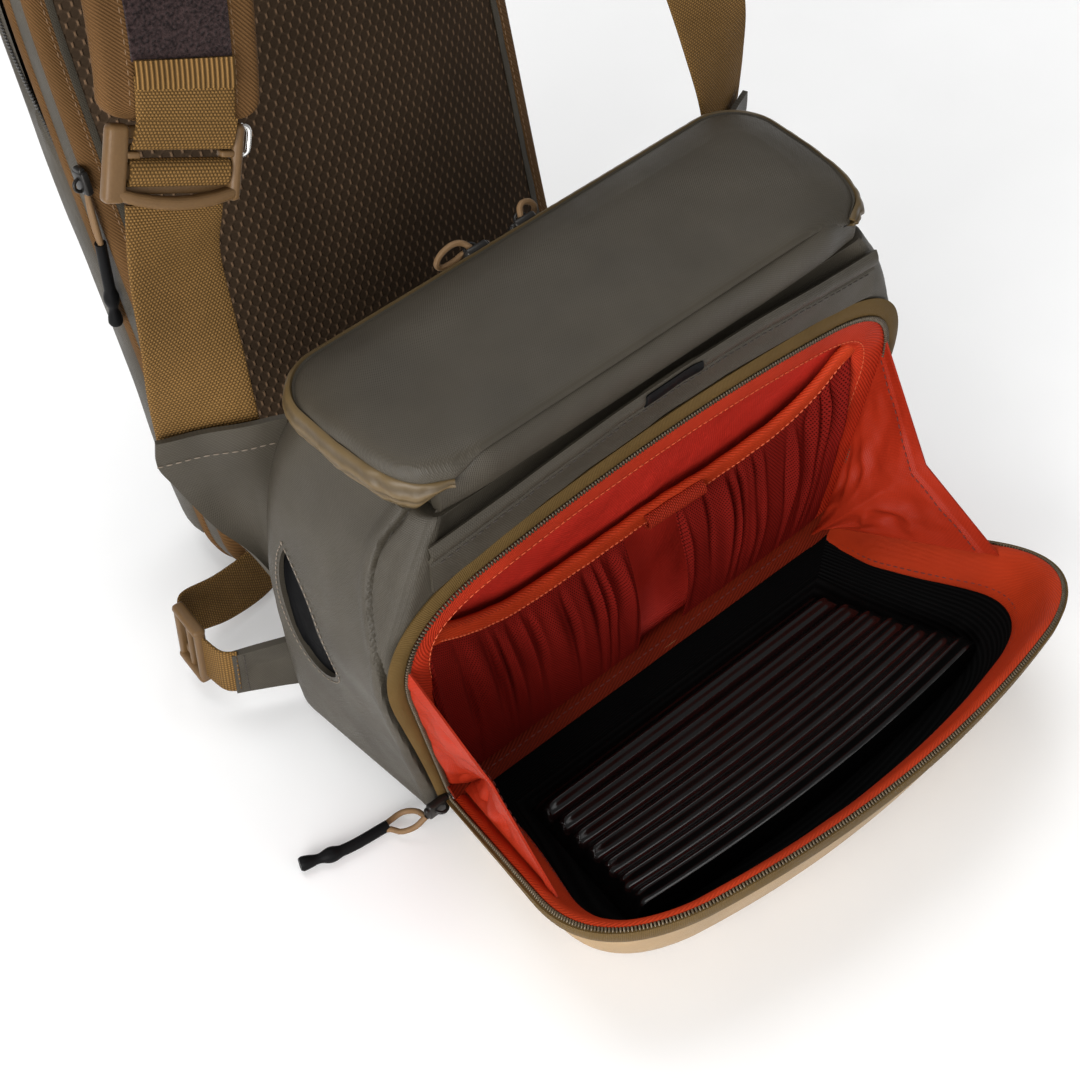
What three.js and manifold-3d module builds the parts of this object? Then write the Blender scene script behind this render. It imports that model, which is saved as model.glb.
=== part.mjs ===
// A chest pack with its fold-down work tray open, on a full harness: shoulder straps, side straps and a back panel.
// Millimetres. +Z is up, the tray folds out towards -Y, the wearer stands between the pack and the panel at +Y,
// and +X is the right hand side seen from the front. The origin is the middle of the pack's flat base.

import * as THREE from 'three';
import { mergeVertices } from 'three/addons/utils/BufferGeometryUtils.js';
import Module from 'manifold-3d';

const wasm = await Module();
wasm.setup();

// Driving sizes
const GAP = 0.4;
const WALL = 2.4;
const LINING = 1.6;

const HINGE = { y: -40, z: 14 };
const FRONT_LEAN = 0.033;
const ZIP = { hinge: 110, top: 138, length: 120, corner: 45, archBody: 10, archTray: 27 };
const TAPE = { inner: -1.5, outer: 4.5, thick: 1.8 };
const WINDOW_INSET = 3.5;
const LINING_INSET = 2.5;
const RECESS = 17;

const BODY_RADIUS = { front: 7, back: 16 };
const RIM_Z = 175;
const LID = { tip: 98.5, half: 118, front: -42, depth: 81, radius: 22, under: 189, edge: 195, top: 198 };
const POCKET = { half: 113, high: 170, drop: 9, thick: 2, open: 3.5, above: 6.5 };
const SLOT = { top: [28, 117], bottom: [3, 58], half: 9.5, margin: 4, patch: 1.5, behind: 0.9 };
const ELASTIC = { half: 109, ends: 102, sag: 34, tall: 8, thick: 1.8, behind: 10 };

const TRAY = { tilt: THREE.MathUtils.degToRad(21.5), hingeY: -43.5, wall: 2, shrink: 0.86, reach: 0.78, foot: 12 };
const TRAY_BASE = TRAY.wall + 0.5;
const FOAM = { back: -68, front: -127, halfBack: 76, halfFront: 96, floor: 4.5, sheet: 4.5, ridges: 8, ridge: 3 };
const GUSSET = { bodyReach: 100, trayReach: 84, root: [-105, -47, 20], tip: [-118, -80, 72], thick: 1.2 };

const WEBBING = { wide: 38, thick: 1.6 };
const SIDE_WEBBING = { wide: 25, thick: 1.6 };
const PAD_STRAP = { wide: 62, thick: 8 };
const WING = { seat: [-116, 45], out: [-0.894, 0.447], thick: 2.4, high: 163.5 };
const TAB = { seat: [-137, 56], thick: 2.6 };
const ROOT_GAP = 2.4;

const PANEL = { lean: THREE.MathUtils.degToRad(17), foot: 88, bow: 600, pad: 12, low: 6.5, high: 330 };
const BAG = { low: 26, high: 324, depth: 46, inset: 4, wall: 2, mouth: 9, mouthFrom: 195, mouthRun: 60 };

// Body sections: height, half widths at the front and back, and the front and back faces
const bodySections = [
  { z: 0, front: 110, back: 112, yFront: -36, yBack: 43 },
  { z: 6, front: 114.5, back: 117.5, yFront: -39.7, yBack: 47 },
  { z: 14, front: 116, back: 119.5, yFront: -40, yBack: 47 },
  { z: 55, front: 125.5, back: 125.5, yFront: -41.4, yBack: 46 },
  { z: 95, front: 134.5, back: 128, yFront: -42.7, yBack: 45 },
  { z: 122, front: 133, back: 127.5, yFront: -43.6, yBack: 44 },
  { z: 142, front: 127, back: 125, yFront: -44.2, yBack: 43 },
  { z: 160, front: 119, back: 121, yFront: -43.4, yBack: 40.5 },
  { z: RIM_Z, front: 110, back: 115.5, yFront: -42, yBack: 36 },
];

// Back panel outline: distance up the panel and half width there
const panelOutline = [
  { up: PANEL.low, half: 84 },
  { up: 13, half: 93 },
  { up: 28, half: 98 },
  { up: 110, half: 100 },
  { up: 220, half: 103 },
  { up: 295, half: 102 },
  { up: 318, half: 95 },
  { up: PANEL.high, half: 78 },
];

// Left buckles: the middle of the frame, the direction along its bars, the way its strap runs, and its slots
const shoulderBuckle = {
  at: [-114.8, 80.2, 261.1], across: [0.906, -0.177, -0.386], up: [0.42, 0.3, 0.85],
  wide: 49, tall: 30, thick: 5, round: 6,
  slots: [{ low: 2.5, high: 7, half: 20 }, { low: -10.5, high: -6, half: 20 }],
};
const lowerBuckle = {
  at: [-141, 79, 25], across: [0, 0, 1], up: [0.12, 1, 0],
  wide: 33, tall: 20, thick: 5, round: 4,
  slots: [{ low: 1.5, high: 6.5, half: 13 }, { low: -6.5, high: -1.5, half: 13 }],
};

// Left strap routes: a point of the middle line and the direction across the strap
const webbingRoute = [
  { at: [-133.4, 53.6, 164.2], across: [-0.894, 0.447, 0] },
  { at: [-132, 59, 181], across: [-0.95, 0.3, 0.02] },
  { at: [-130, 64, 205], across: [-0.993, 0.089, 0.078] },
  { at: [-126.8, 71, 230], across: [-0.979, 0.014, 0.207] },
  { at: buckleEnd(shoulderBuckle, -1), across: [-0.906, 0.177, 0.386] },
];
const padRoute = [
  { at: buckleEnd(shoulderBuckle, 1, 1.2), across: [-0.906, 0.177, 0.386] },
  { at: [-104, 89, 293], across: [-0.92, 0.16, 0.35] },
  { at: [-98, 98, 318], across: [-0.95, 0.15, 0.25] },
  { at: [-88, 118, 342], across: [-0.97, 0.18, 0.12] },
  { at: [-77, 146, 354], across: [-0.99, 0.12, 0.03] },
  { at: [-68, 175, 348], across: [-1, 0.04, 0] },
  { at: [-64, 192, 334], across: [-1, 0, 0] },
  { at: [-63, 197, 319], across: [-1, 0, 0] },
];
const lowerFront = [
  { at: [-137.7, 56.4, 24.5], across: [0, 0, 1] },
  { at: [-140.6, 59.8, 24.6], across: [0, 0, 1] },
  { at: buckleEnd(lowerBuckle, -1), across: [0, 0, 1] },
];
const lowerBack = [
  { at: buckleEnd(lowerBuckle, 1, 0.8), across: [0, 0, 1] },
  { at: [-133, 94, 23], across: [0, 0.1, 1] },
  { at: [-115, 95, 18], across: [0, 0.22, 1] },
  { at: [-96, 97.4, 15.5], across: [0, 0.28, 1] },
  { at: [-80, 101.6, 15.5], across: [0, 0.29, 1] },
];

// Left wing and lower tab below their body roots: distance out from the seat, and height
const wingEdge = [[38.5, WING.high], [39.5, 152], [33, 138], [22, 114], [8, 92]];
const tabEdge = [[-1, 36.5], [0, 34], [0, 14], [-1, 11.5], [-16, 9]];

// Pulls: lines of points
const wireLine = [[25, 3.2], [28, 4.2], [29.4, 8.5], [28, 12.8], [25, 13.8]];
const trayPullCord = [[-127.2, -42.5, 10.5], [-126.6, -38.4, 6.6], [-127.2, -34, 4.2], [-130, -31.8, 3.6]];
const trayPullTube = [[-130.9, -31.5, 3.6], [-150, -28.7, 3.2], [-167.8, -22.4, 3.2]];
const bagPullCord = [[-105.8, 162.5, 190.3], [-106.6, 160.4, 183], [-106.8, 158.8, 175], [-106.6, 158, 169.5]];
const bagPullTube = [[-106.6, 157.9, 169], [-106.4, 157.4, 147], [-106.4, 157, 127]];
const lidPullLoop = [[0, 41.8, 185.5], [-1, 45.5, 189.5], [3, 48.4, 191.5], [8, 47.6, 190], [10.5, 45.6, 187]];

// Colours and finishes
const finish = (color, roughness, metalness = 0) => new THREE.MeshStandardMaterial({ color, roughness, metalness });
const looks = {
  olive: finish(0x57544a, 0.75),
  tan: finish(0x8a6636, 0.85),
  tape: finish(0x6f5a36, 0.45),
  red: finish(0xb02a1c, 0.55),
  deepRed: finish(0x8f1f17, 0.8),
  orange: finish(0xcf4a22, 0.8),
  shell: finish(0xae9059, 0.7),
  black: finish(0x121212, 0.9),
  foam: finish(0x1b1a1b, 0.5),
  rubber: finish(0x202122, 0.6),
  mesh: finish(0x3a2f24, 0.95),
  buckle: finish(0x8c6a42, 0.55),
  steel: finish(0xc8c8c8, 0.25, 1),
  darkMetal: finish(0x2a2723, 0.4, 0.8),
};

const pack = new THREE.Group();

function place(name, geometry, material, parent = pack) {
  const mesh = new THREE.Mesh(geometry, material);
  mesh.name = name;
  parent.add(mesh);
  return mesh;
}

function point(x = 0, y = 0, z = 0) {
  return new THREE.Vector3(x, y, z);
}

const lerp = THREE.MathUtils.lerp;
const flatShape = (corners) => new THREE.Shape(corners.map(([x, y]) => new THREE.Vector2(x, y)));

// A closed body from its corners and triangles, turned so that its faces point out
function solid(points, faces) {
  let volume = 0;
  for (const [a, b, c] of faces) {
    volume += points[a].dot(point().crossVectors(points[b], points[c]));
  }
  const geometry = new THREE.BufferGeometry();
  const places = points.flatMap((p) => [p.x, p.y, p.z]);
  geometry.setAttribute('position', new THREE.Float32BufferAttribute(places, 3));
  geometry.setIndex(faces.flatMap(([a, b, c]) => (volume > 0 ? [a, b, c] : [a, c, b])));
  return geometry;
}

// A skin through rings of equal count, capped at both ends, or joined end to start where it loops
function loft(rings, { loop = false } = {}) {
  const count = rings[0].length;
  const points = rings.flat();
  const faces = [];
  const spans = loop ? rings.length : rings.length - 1;
  for (let i = 0; i < spans; i += 1) {
    const here = i * count;
    const next = ((i + 1) % rings.length) * count;
    for (let j = 0; j < count; j += 1) {
      const k = (j + 1) % count;
      faces.push([here + j, here + k, next + k], [here + j, next + k, next + j]);
    }
  }
  if (!loop) {
    const ends = [{ start: 0, turned: true }, { start: (rings.length - 1) * count, turned: false }];
    for (const { start, turned } of ends) {
      const middle = points.length;
      const ring = points.slice(start, start + count);
      points.push(ring.reduce((sum, p) => sum.add(p), point()).divideScalar(count));
      for (let j = 0; j < count; j += 1) {
        const k = (j + 1) % count;
        faces.push(turned ? [middle, start + k, start + j] : [middle, start + j, start + k]);
      }
    }
  }
  return solid(points, faces);
}

// A band along a line of stations, from the rings that its section's corners draw
const band = (lines, options) => loft(lines[0].map((_, i) => lines.map((line) => line[i])), options);

// A sheet between two faces, each a function of u and v from 0 to 1
function slab(columns, rows, near, far) {
  const points = [];
  for (const face of [near, far]) {
    for (let r = 0; r <= rows; r += 1) {
      for (let c = 0; c <= columns; c += 1) {
        points.push(face(c / columns, r / rows));
      }
    }
  }
  const wide = columns + 1;
  const back = wide * (rows + 1);
  const faces = [];
  const quad = (a, b, c, d) => faces.push([a, b, c], [a, c, d]);
  for (let r = 0; r < rows; r += 1) {
    for (let c = 0; c < columns; c += 1) {
      const a = r * wide + c;
      quad(a, a + 1, a + wide + 1, a + wide);
      quad(back + a, back + a + wide, back + a + wide + 1, back + a + 1);
    }
    const left = r * wide;
    const right = left + columns;
    quad(left, left + wide, back + left + wide, back + left);
    quad(right + wide, right, back + right, back + right + wide);
  }
  for (let c = 0; c < columns; c += 1) {
    const top = rows * wide + c;
    quad(c + 1, c, back + c, back + c + 1);
    quad(top, top + 1, back + top + 1, back + top);
  }
  return solid(points, faces);
}

// A flat strap along a route
function ribbon(route, { wide, thick }, steps) {
  const line = new THREE.CatmullRomCurve3(route.map((row) => point(...row.at)));
  const turns = new THREE.CatmullRomCurve3(route.map((row) => point(...row.across)));
  const rings = [];
  for (let i = 0; i <= steps; i += 1) {
    const across = turns.getPoint(i / steps).normalize();
    const face = point().crossVectors(across, line.getTangent(i / steps)).normalize();
    const middle = line.getPoint(i / steps);
    const corner = (side, out) => middle.clone()
      .addScaledVector(across, side * wide / 2)
      .addScaledVector(face, out * thick / 2);
    rings.push([corner(-1, -1), corner(1, -1), corner(1, 1), corner(-1, 1)]);
  }
  return loft(rings);
}

// A round cord along a smooth line through points
function cord(points, diameter, steps, sides = 8) {
  const turns = Array.from({ length: sides }, (_, i) => (i / sides) * 2 * Math.PI);
  const section = flatShape(turns.map((turn) => [Math.cos(turn) * diameter / 2, Math.sin(turn) * diameter / 2]));
  const extrudePath = new THREE.CatmullRomCurve3(points.map((p) => point(...p)));
  return new THREE.ExtrudeGeometry(section, { steps, extrudePath, bevelEnabled: false });
}

// Boolean cut of one closed body by others
function toSolid(geometry) {
  const bare = geometry.clone();
  bare.deleteAttribute('normal');
  bare.deleteAttribute('uv');
  const merged = mergeVertices(bare, 1e-4);
  const vertProperties = new Float32Array(merged.attributes.position.array);
  const triVerts = new Uint32Array(merged.index.array);
  return new wasm.Manifold(new wasm.Mesh({ numProp: 3, vertProperties, triVerts }));
}

function cut(geometry, ...tools) {
  const result = tools.reduce((left, tool) => left.subtract(toSolid(tool)), toSolid(geometry));
  const { vertProperties, triVerts } = result.getMesh();
  const cutGeometry = new THREE.BufferGeometry();
  cutGeometry.setAttribute('position', new THREE.BufferAttribute(vertProperties, 3));
  cutGeometry.setIndex(new THREE.BufferAttribute(triVerts, 1));
  return cutGeometry;
}

// The zip's open line in its own plane, from the hinge's left end round to its right end, pushed out by a distance
function zipLine(arch, out = 0) {
  const crown = (u) => ZIP.length + arch * (1 - (u / ZIP.top) ** 2);
  const foot = new THREE.Vector2(-ZIP.hinge, 0);
  const apex = new THREE.Vector2(-ZIP.top, ZIP.length);
  const side = apex.clone().add(foot.clone().sub(apex).setLength(ZIP.corner));
  const shoulder = -ZIP.top + ZIP.corner;
  const bend = new THREE.QuadraticBezierCurve(side, apex, new THREE.Vector2(shoulder, crown(shoulder)));
  const left = [foot, foot.clone().lerp(side, 1 / 3), foot.clone().lerp(side, 2 / 3), ...bend.getPoints(6)];
  const middle = [-0.6, -0.2, 0.2, 0.6].map((share) => new THREE.Vector2(-share * shoulder, crown(share * shoulder)));
  const right = left.map((p) => new THREE.Vector2(-p.x, p.y)).reverse();
  const line = [...left, ...middle, ...right];
  return line.map((p, i) => {
    const before = line[Math.max(i - 1, 0)];
    const after = line[Math.min(i + 1, line.length - 1)];
    const along = after.clone().sub(before).normalize();
    return new THREE.Vector2(p.x - along.y * out, p.y + along.x * out);
  });
}

// The point a distance along a line of points
function walk(line, distance) {
  let left = distance;
  let i = 0;
  while (i < line.length - 2 && left > line[i].distanceTo(line[i + 1])) {
    left -= line[i].distanceTo(line[i + 1]);
    i += 1;
  }
  return line[i].clone().lerp(line[i + 1], left / line[i].distanceTo(line[i + 1]));
}

const frontY = (z) => HINGE.y - FRONT_LEAN * (z - HINGE.z);
const onFront = (p, ahead) => point(p.x, frontY(HINGE.z + p.y) - ahead, HINGE.z + p.y);

function onTray(p, drop) {
  const { tilt, hingeY } = TRAY;
  const y = hingeY - Math.cos(tilt) * p.y - Math.sin(tilt) * drop;
  return point(p.x, y, HINGE.z + Math.sin(tilt) * p.y - Math.cos(tilt) * drop);
}

// Pack body

function sectionAt(z) {
  const i = Math.max(1, bodySections.findIndex((row) => row.z >= z));
  const [low, high] = [bodySections[i - 1], bodySections[i]];
  const share = (z - low.z) / (high.z - low.z);
  const mix = (key) => lerp(low[key], high[key], share);
  return { z, front: mix('front'), back: mix('back'), yFront: mix('yFront'), yBack: mix('yBack') };
}

function planRing(row, inset, z = row.z) {
  const corners = [
    { x: -row.front, y: row.yFront, radius: BODY_RADIUS.front, from: Math.PI, steps: 3 },
    { x: row.front, y: row.yFront, radius: BODY_RADIUS.front, from: 1.5 * Math.PI, steps: 3 },
    { x: row.back, y: row.yBack, radius: BODY_RADIUS.back, from: 0, steps: 5 },
    { x: -row.back, y: row.yBack, radius: BODY_RADIUS.back, from: 0.5 * Math.PI, steps: 5 },
  ];
  const ring = [];
  for (const { x, y, radius, from, steps } of corners) {
    const centre = [x - Math.sign(x) * radius, y - Math.sign(y) * radius];
    for (let i = 0; i <= steps; i += 1) {
      const turn = from + (i / steps) * Math.PI / 2;
      const reach = radius - inset;
      ring.push(point(centre[0] + reach * Math.cos(turn), centre[1] + reach * Math.sin(turn), z));
    }
  }
  const between = (from, to) => [0.25, 0.5, 0.75].map((share) => ring[from].clone().lerp(ring[to], share));
  return [...ring.slice(0, 8), ...between(7, 8), ...ring.slice(8), ...between(19, 0)];
}

// Half width of the side wall at a depth and height, inset from its outer face
function sideX(y, z, inset) {
  const row = sectionAt(z);
  const from = row.yFront + BODY_RADIUS.front;
  const to = row.yBack - BODY_RADIUS.back;
  if (y <= to) return lerp(row.front, row.back, (y - from) / (to - from)) - inset;
  return row.back - BODY_RADIUS.back + Math.sqrt((BODY_RADIUS.back - inset) ** 2 - (y - to) ** 2);
}

// How far out from a seat an upright plate meets the body's rounded back corner
function rootAt(z, seat) {
  const row = sectionAt(z);
  const away = new THREE.Vector2(
    seat[0] + row.back - BODY_RADIUS.back,
    seat[1] - row.yBack + BODY_RADIUS.back,
  );
  const along = away.dot(new THREE.Vector2(...WING.out));
  return -along + Math.sqrt(along ** 2 - away.lengthSq() + BODY_RADIUS.back ** 2) + ROOT_GAP;
}

function slotPoint(along, across, x) {
  const [y0, z0] = SLOT.top;
  const [y1, z1] = SLOT.bottom;
  const length = Math.hypot(y1 - y0, z1 - z0);
  const normal = [(z1 - z0) / length, -(y1 - y0) / length];
  return point(x, lerp(y0, y1, along) + normal[0] * across, lerp(z0, z1, along) + normal[1] * across);
}

// An open tub with a window in its front wall and a slanted slot in its left wall
function bodyShell() {
  const outer = bodySections.map((row) => planRing(row, 0));
  const inner = bodySections.slice(2).map((row) => planRing(row, WALL));
  const floor = planRing(bodySections[1], WALL, WALL);
  const tub = loft([...outer, ...inner.reverse(), floor]);
  const outline = zipLine(ZIP.archBody, -WINDOW_INSET);
  const window = loft([outline.map((p) => onFront(p, 20)), outline.map((p) => onFront(p, -WALL - 1))]);
  const lens = [-150, -96].map((x) => {
    const shares = [0, 0.15, 0.3, 0.5, 0.7, 0.85];
    const one = shares.map((s) => slotPoint(s, SLOT.half * Math.sin(Math.PI * s), x));
    const other = shares.map((s) => slotPoint(1 - s, -SLOT.half * Math.sin(Math.PI * s), x));
    return [...one, ...other];
  });
  return cut(tub, window, loft(lens));
}

// Patch behind the slot, following the inside of the wall
function slotPatch() {
  const side = (depth) => (u, v) => {
    const half = SLOT.half * Math.sin(Math.PI * v) + SLOT.margin;
    const p = slotPoint(lerp(-0.06, 1.06, v), lerp(-half, half, u), 0);
    p.x = -sideX(p.y, p.z, WALL + SLOT.behind + depth);
    return p;
  };
  return slab(4, 8, side(0), side(SLOT.patch));
}

// Lid

function lidRing(inset, z) {
  const { tip, half, front, depth, radius } = LID;
  const back = front + depth;
  const right = [
    [tip - inset, front + inset],
    [tip + 12 - inset, front + 8 + inset * 0.6],
    [half - 2 - inset, front + 22],
    [half - inset, front + 40],
  ];
  for (let i = 0; i <= 5; i += 1) {
    const turn = (i / 5) * Math.PI / 2;
    const reach = radius - inset;
    right.push([half - radius + reach * Math.cos(turn), back - radius + reach * Math.sin(turn)]);
  }
  const left = right.map(([x, y]) => [-x, y]).reverse();
  return [...right, ...left].map(([x, y]) => point(x, y, z));
}

function lidPanel() {
  const { under, edge, top } = LID;
  return loft([lidRing(1.5, under), lidRing(0, under + 2), lidRing(0.8, edge), lidRing(4, top - 1), lidRing(14, top)]);
}

// Tape that closes the lid, from one front tip round the back to the other
function lidTape() {
  const corners = [
    { inset: 2, z: LID.under - GAP },
    { inset: 2 + LINING, z: LID.under - GAP },
    { inset: 3.8 + LINING, z: RIM_Z + GAP },
    { inset: 3.8, z: RIM_Z + GAP },
  ];
  return band(corners.map(({ inset, z }) => lidRing(inset, z)));
}

// Rolled cloth below the lid's front edge
function frontRoll() {
  const section = [[-39.5, 175.5], [-43.4, 175.8], [-45.6, 181], [-45, 186], [-42.4, 188.4], [-39.6, 188.4]];
  const stops = [-90, -60, -20, 20, 60, 90];
  return loft(stops.map((x) => section.map(([y, z]) => point(x, y, z))));
}

// Slip pocket between the roll and the zip, its top edge standing a little open
function frontPocket() {
  const face = (ahead) => (u, v) => {
    const x = lerp(-POCKET.half, POCKET.half, u);
    const low = HINGE.z + ZIP.length + ZIP.archBody * (1 - (x / ZIP.top) ** 2) + POCKET.above;
    const high = POCKET.high - POCKET.drop * (x / POCKET.half) ** 2;
    const z = lerp(low, high, v);
    const open = POCKET.open * v * (1 - (x / POCKET.half) ** 4);
    return point(x, sectionAt(z).yFront - GAP - open - ahead, z);
  };
  return slab(12, 3, face(0), face(POCKET.thick));
}

function bodyZipTape() {
  const corners = [
    { out: TAPE.inner, ahead: GAP },
    { out: TAPE.outer, ahead: GAP },
    { out: TAPE.outer, ahead: GAP + TAPE.thick },
    { out: TAPE.inner, ahead: GAP + TAPE.thick },
  ];
  return band(corners.map(({ out, ahead }) => zipLine(ZIP.archBody, out).map((p) => onFront(p, ahead))));
}

// Front compartment

// Red wall behind the window, dished towards the wearer
function liningWall() {
  const outline = zipLine(ZIP.archBody, -LINING_INSET);
  const columns = outline.length - 1;
  const face = (behind) => (u, v) => {
    const edge = outline[Math.round(u * columns)];
    const foot = new THREE.Vector2(lerp(outline[0].x, -outline[0].x, u), -3);
    const at = onFront(foot.lerp(edge, v), -WALL - GAP - behind);
    const dish = Math.sqrt(4 * u * (1 - u)) * Math.sin(Math.PI * v) ** 0.8;
    at.y += RECESS * dish;
    return at;
  };
  return slab(columns, 6, face(0), face(LINING));
}

// Cloth over the hinge, from the compartment's floor to the tray
function hingeStrip() {
  const half = 99;
  const section = [[-37.7, 15.5], [-43.2, 15.2], [-47.4, 16.1], [-47.4, 17.3], [-43.2, 16.4], [-37.7, 16.7]];
  return loft([-half, half].map((x) => section.map(([y, z]) => point(x, y, z))));
}

// The elastic edge of the mesh pockets sags between its two ends
const elasticZ = (x) => HINGE.z + ELASTIC.ends - ELASTIC.sag * (1 - (x / ELASTIC.half) ** 2);
const elasticY = (x) => frontY(80) + 4 + ELASTIC.behind * (1 - (x / ELASTIC.half) ** 2);

function pocketElastic() {
  const face = (ahead) => (u, v) => {
    const x = lerp(-ELASTIC.half, ELASTIC.half, u);
    return point(x, elasticY(x) - ahead, elasticZ(x) + ELASTIC.tall * v);
  };
  return slab(14, 1, face(0), face(ELASTIC.thick));
}

function meshPocket(from, to) {
  const low = HINGE.z + 3.2;
  const face = (ahead) => (u, v) => {
    const x = lerp(from, to, u);
    const z = lerp(low, elasticZ(x) - GAP, v);
    const pleat = 1.6 * Math.cos(u * 12 * Math.PI) * Math.sin(Math.PI * v);
    const swell = 5 * Math.sin(Math.PI * v);
    const y = lerp(frontY(low) + 3, elasticY(x) - 0.3, v) - swell + pleat;
    return point(x * lerp(0.9, 1, v), y - ahead, z);
  };
  return slab(24, 4, face(0), face(1));
}

// A folded webbing loop sewn on the front of the elastic, open from end to end
function keyLoop() {
  const [from, to] = [6, 36];
  const front = elasticY(to) - ELASTIC.thick - GAP;
  const low = elasticZ(to) + 0.5;
  const section = (rows) => flatShape(rows.map(([ahead, above]) => [front - ahead, low + above]));
  const outline = section([[0, 7], [1.6, 7.4], [5.5, 4.8], [5.9, 2.4], [4.6, 0.4], [0, 0]]);
  outline.holes.push(section([[1.1, 5.9], [1.7, 6], [4.4, 4.1], [4.7, 2.7], [4, 1.5], [1.1, 1.2]]));
  const geometry = new THREE.ExtrudeGeometry(outline, { depth: to - from, bevelEnabled: false });
  const axes = new THREE.Matrix4().makeBasis(point(0, 1, 0), point(0, 0, 1), point(1, 0, 0));
  return geometry.applyMatrix4(axes.setPosition(from, 0, 0));
}

// Tray

// Outline of the tray moved in by inset on every side, the hinge too
function trayOutline(inset) {
  const line = zipLine(ZIP.archTray, -inset);
  for (const end of [line[0], line[line.length - 1]]) {
    end.y = Math.max(inset, 1);
  }
  return line;
}

const trayFoot = (p, z) => point(p.x * TRAY.shrink, TRAY.hingeY - TRAY.foot - TRAY.reach * Math.cos(TRAY.tilt) * p.y, z);
const trayFloor = (inset, z) => trayOutline(inset).map((p) => trayFoot(p, z));

// A ring of the tray's wall: depth 0 at the rim and 1 at a floor height
function trayRing(depth, inset, floor = 0) {
  return trayOutline(inset).map((p) => {
    const rim = onTray(p, 0);
    const foot = trayFoot(p, floor);
    const at = rim.clone().lerp(foot, depth);
    at.z -= 0.12 * Math.sin(Math.PI * Math.max(depth, 0)) * (rim.z - foot.z);
    return at;
  });
}

const trayDepths = [0.9, 0.7, 0.5, 0.25, 0];

function trayShell() {
  const outer = trayDepths.map((depth) => trayRing(depth, 1));
  const inner = trayDepths.map((depth) => trayRing(depth, 1 + TRAY.wall, TRAY.wall)).reverse();
  return loft([trayFloor(7, 0), ...outer, ...inner, trayFloor(7 + TRAY.wall, TRAY.wall)]);
}

function trayLiner() {
  const depths = trayDepths.slice(0, -1);
  const outer = depths.map((depth) => trayRing(depth, 3.8, TRAY_BASE));
  const inner = depths.map((depth) => trayRing(depth, 3.8 + LINING, TRAY_BASE + LINING)).reverse();
  return loft([trayFloor(10, TRAY_BASE), ...outer, ...inner, trayFloor(10 + LINING, TRAY_BASE + LINING)]);
}

// Binding inside the rim, rolled over its edge
function trayRim() {
  const corners = [
    { depth: 0.21, inset: 3.8 },
    { depth: -0.02, inset: 3.8 },
    { depth: -0.07, inset: 5.2 },
    { depth: -0.02, inset: 7.2 },
    { depth: 0.21, inset: 6.6 },
  ];
  return band(corners.map(({ depth, inset }) => trayRing(depth, inset, TRAY_BASE)));
}

function trayZipTape() {
  const corners = [
    { depth: -0.03, inset: 0.3 },
    { depth: 0.13, inset: 0.3 },
    { depth: 0.13, inset: -1.5 },
    { depth: -0.03, inset: -1.5 },
  ];
  return band(corners.map(({ depth, inset }) => trayRing(depth, inset)));
}

function trayFoam() {
  const top = (u, v) => {
    const half = lerp(FOAM.halfBack, FOAM.halfFront, v);
    const rise = FOAM.ridge * Math.abs(Math.sin(Math.PI * FOAM.ridges * v));
    return point(lerp(-half, half, u), lerp(FOAM.back, FOAM.front, v), FOAM.floor + FOAM.sheet + rise);
  };
  const bottom = (u, v) => top(u, v).setZ(FOAM.floor);
  return slab(2, FOAM.ridges * 4, top, bottom);
}

// Left cloth gusset between the body's zip and the tray's zip, folded along a crease
function gusset() {
  const bodyLine = zipLine(ZIP.archBody, -3.2);
  const trayLine = zipLine(ZIP.archTray, -9);
  const face = (out) => (u, v) => {
    const along = lerp(0.06, 1, v);
    const body = onFront(walk(bodyLine, along * GUSSET.bodyReach), 1.3);
    const tray = onTray(walk(trayLine, along * GUSSET.trayReach), -1.8);
    const crease = point(...GUSSET.root).lerp(point(...GUSSET.tip), along);
    const p = u < 0.5 ? body.lerp(crease, u * 2) : crease.lerp(tray, u * 2 - 1);
    return point(p.x - out, p.y, p.z);
  };
  return slab(8, 8, face(0), face(GUSSET.thick));
}

// Zip slider: a block that narrows to its nose, lying along X and facing -Y
function slider(long, wide, deep) {
  const nose = flatShape([
    [-long / 2, -wide / 2], [long * 0.2, -wide / 2], [long / 2, -wide * 0.3],
    [long / 2, wide * 0.3], [long * 0.2, wide / 2], [-long / 2, wide / 2],
  ]);
  const geometry = new THREE.ExtrudeGeometry(nose, { depth: deep, bevelEnabled: false });
  return geometry.translate(0, 0, -deep / 2).rotateX(Math.PI / 2);
}

// Harness

// A flat outline in the upright plane that leaves the body's back corner
function uprightPlate(outline, seat, thick) {
  const geometry = new THREE.ExtrudeGeometry(flatShape(outline), { depth: thick, bevelEnabled: false });
  geometry.translate(0, 0, -thick / 2);
  const out = point(...WING.out, 0).normalize();
  const up = point(0, 0, 1);
  const facing = point().crossVectors(out, up);
  return geometry.applyMatrix4(new THREE.Matrix4().makeBasis(out, up, facing).setPosition(...seat, 0));
}

function wing() {
  const roots = [74, 95, 122, 142, 160].map((z) => [rootAt(z, WING.seat), z]);
  const top = [rootAt(WING.high, WING.seat), WING.high];
  return uprightPlate([top, ...wingEdge, ...roots], WING.seat, WING.thick);
}

function lowerTab() {
  const roots = [11, 14, 37].map((z) => [rootAt(z, TAB.seat), z]);
  return uprightPlate([...tabEdge, ...roots], TAB.seat, TAB.thick);
}

function buckleBasis({ at, across, up }) {
  const x = point(...across).normalize();
  const z = point().crossVectors(x, point(...up)).normalize();
  const y = point().crossVectors(z, x);
  return new THREE.Matrix4().makeBasis(x, y, z).setPosition(...at);
}

// Where a strap meets the buckle's near or far bar
function buckleEnd(frame, way, clear = GAP) {
  return point(0, way * (frame.tall / 2 + clear), 0).applyMatrix4(buckleBasis(frame)).toArray();
}

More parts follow.
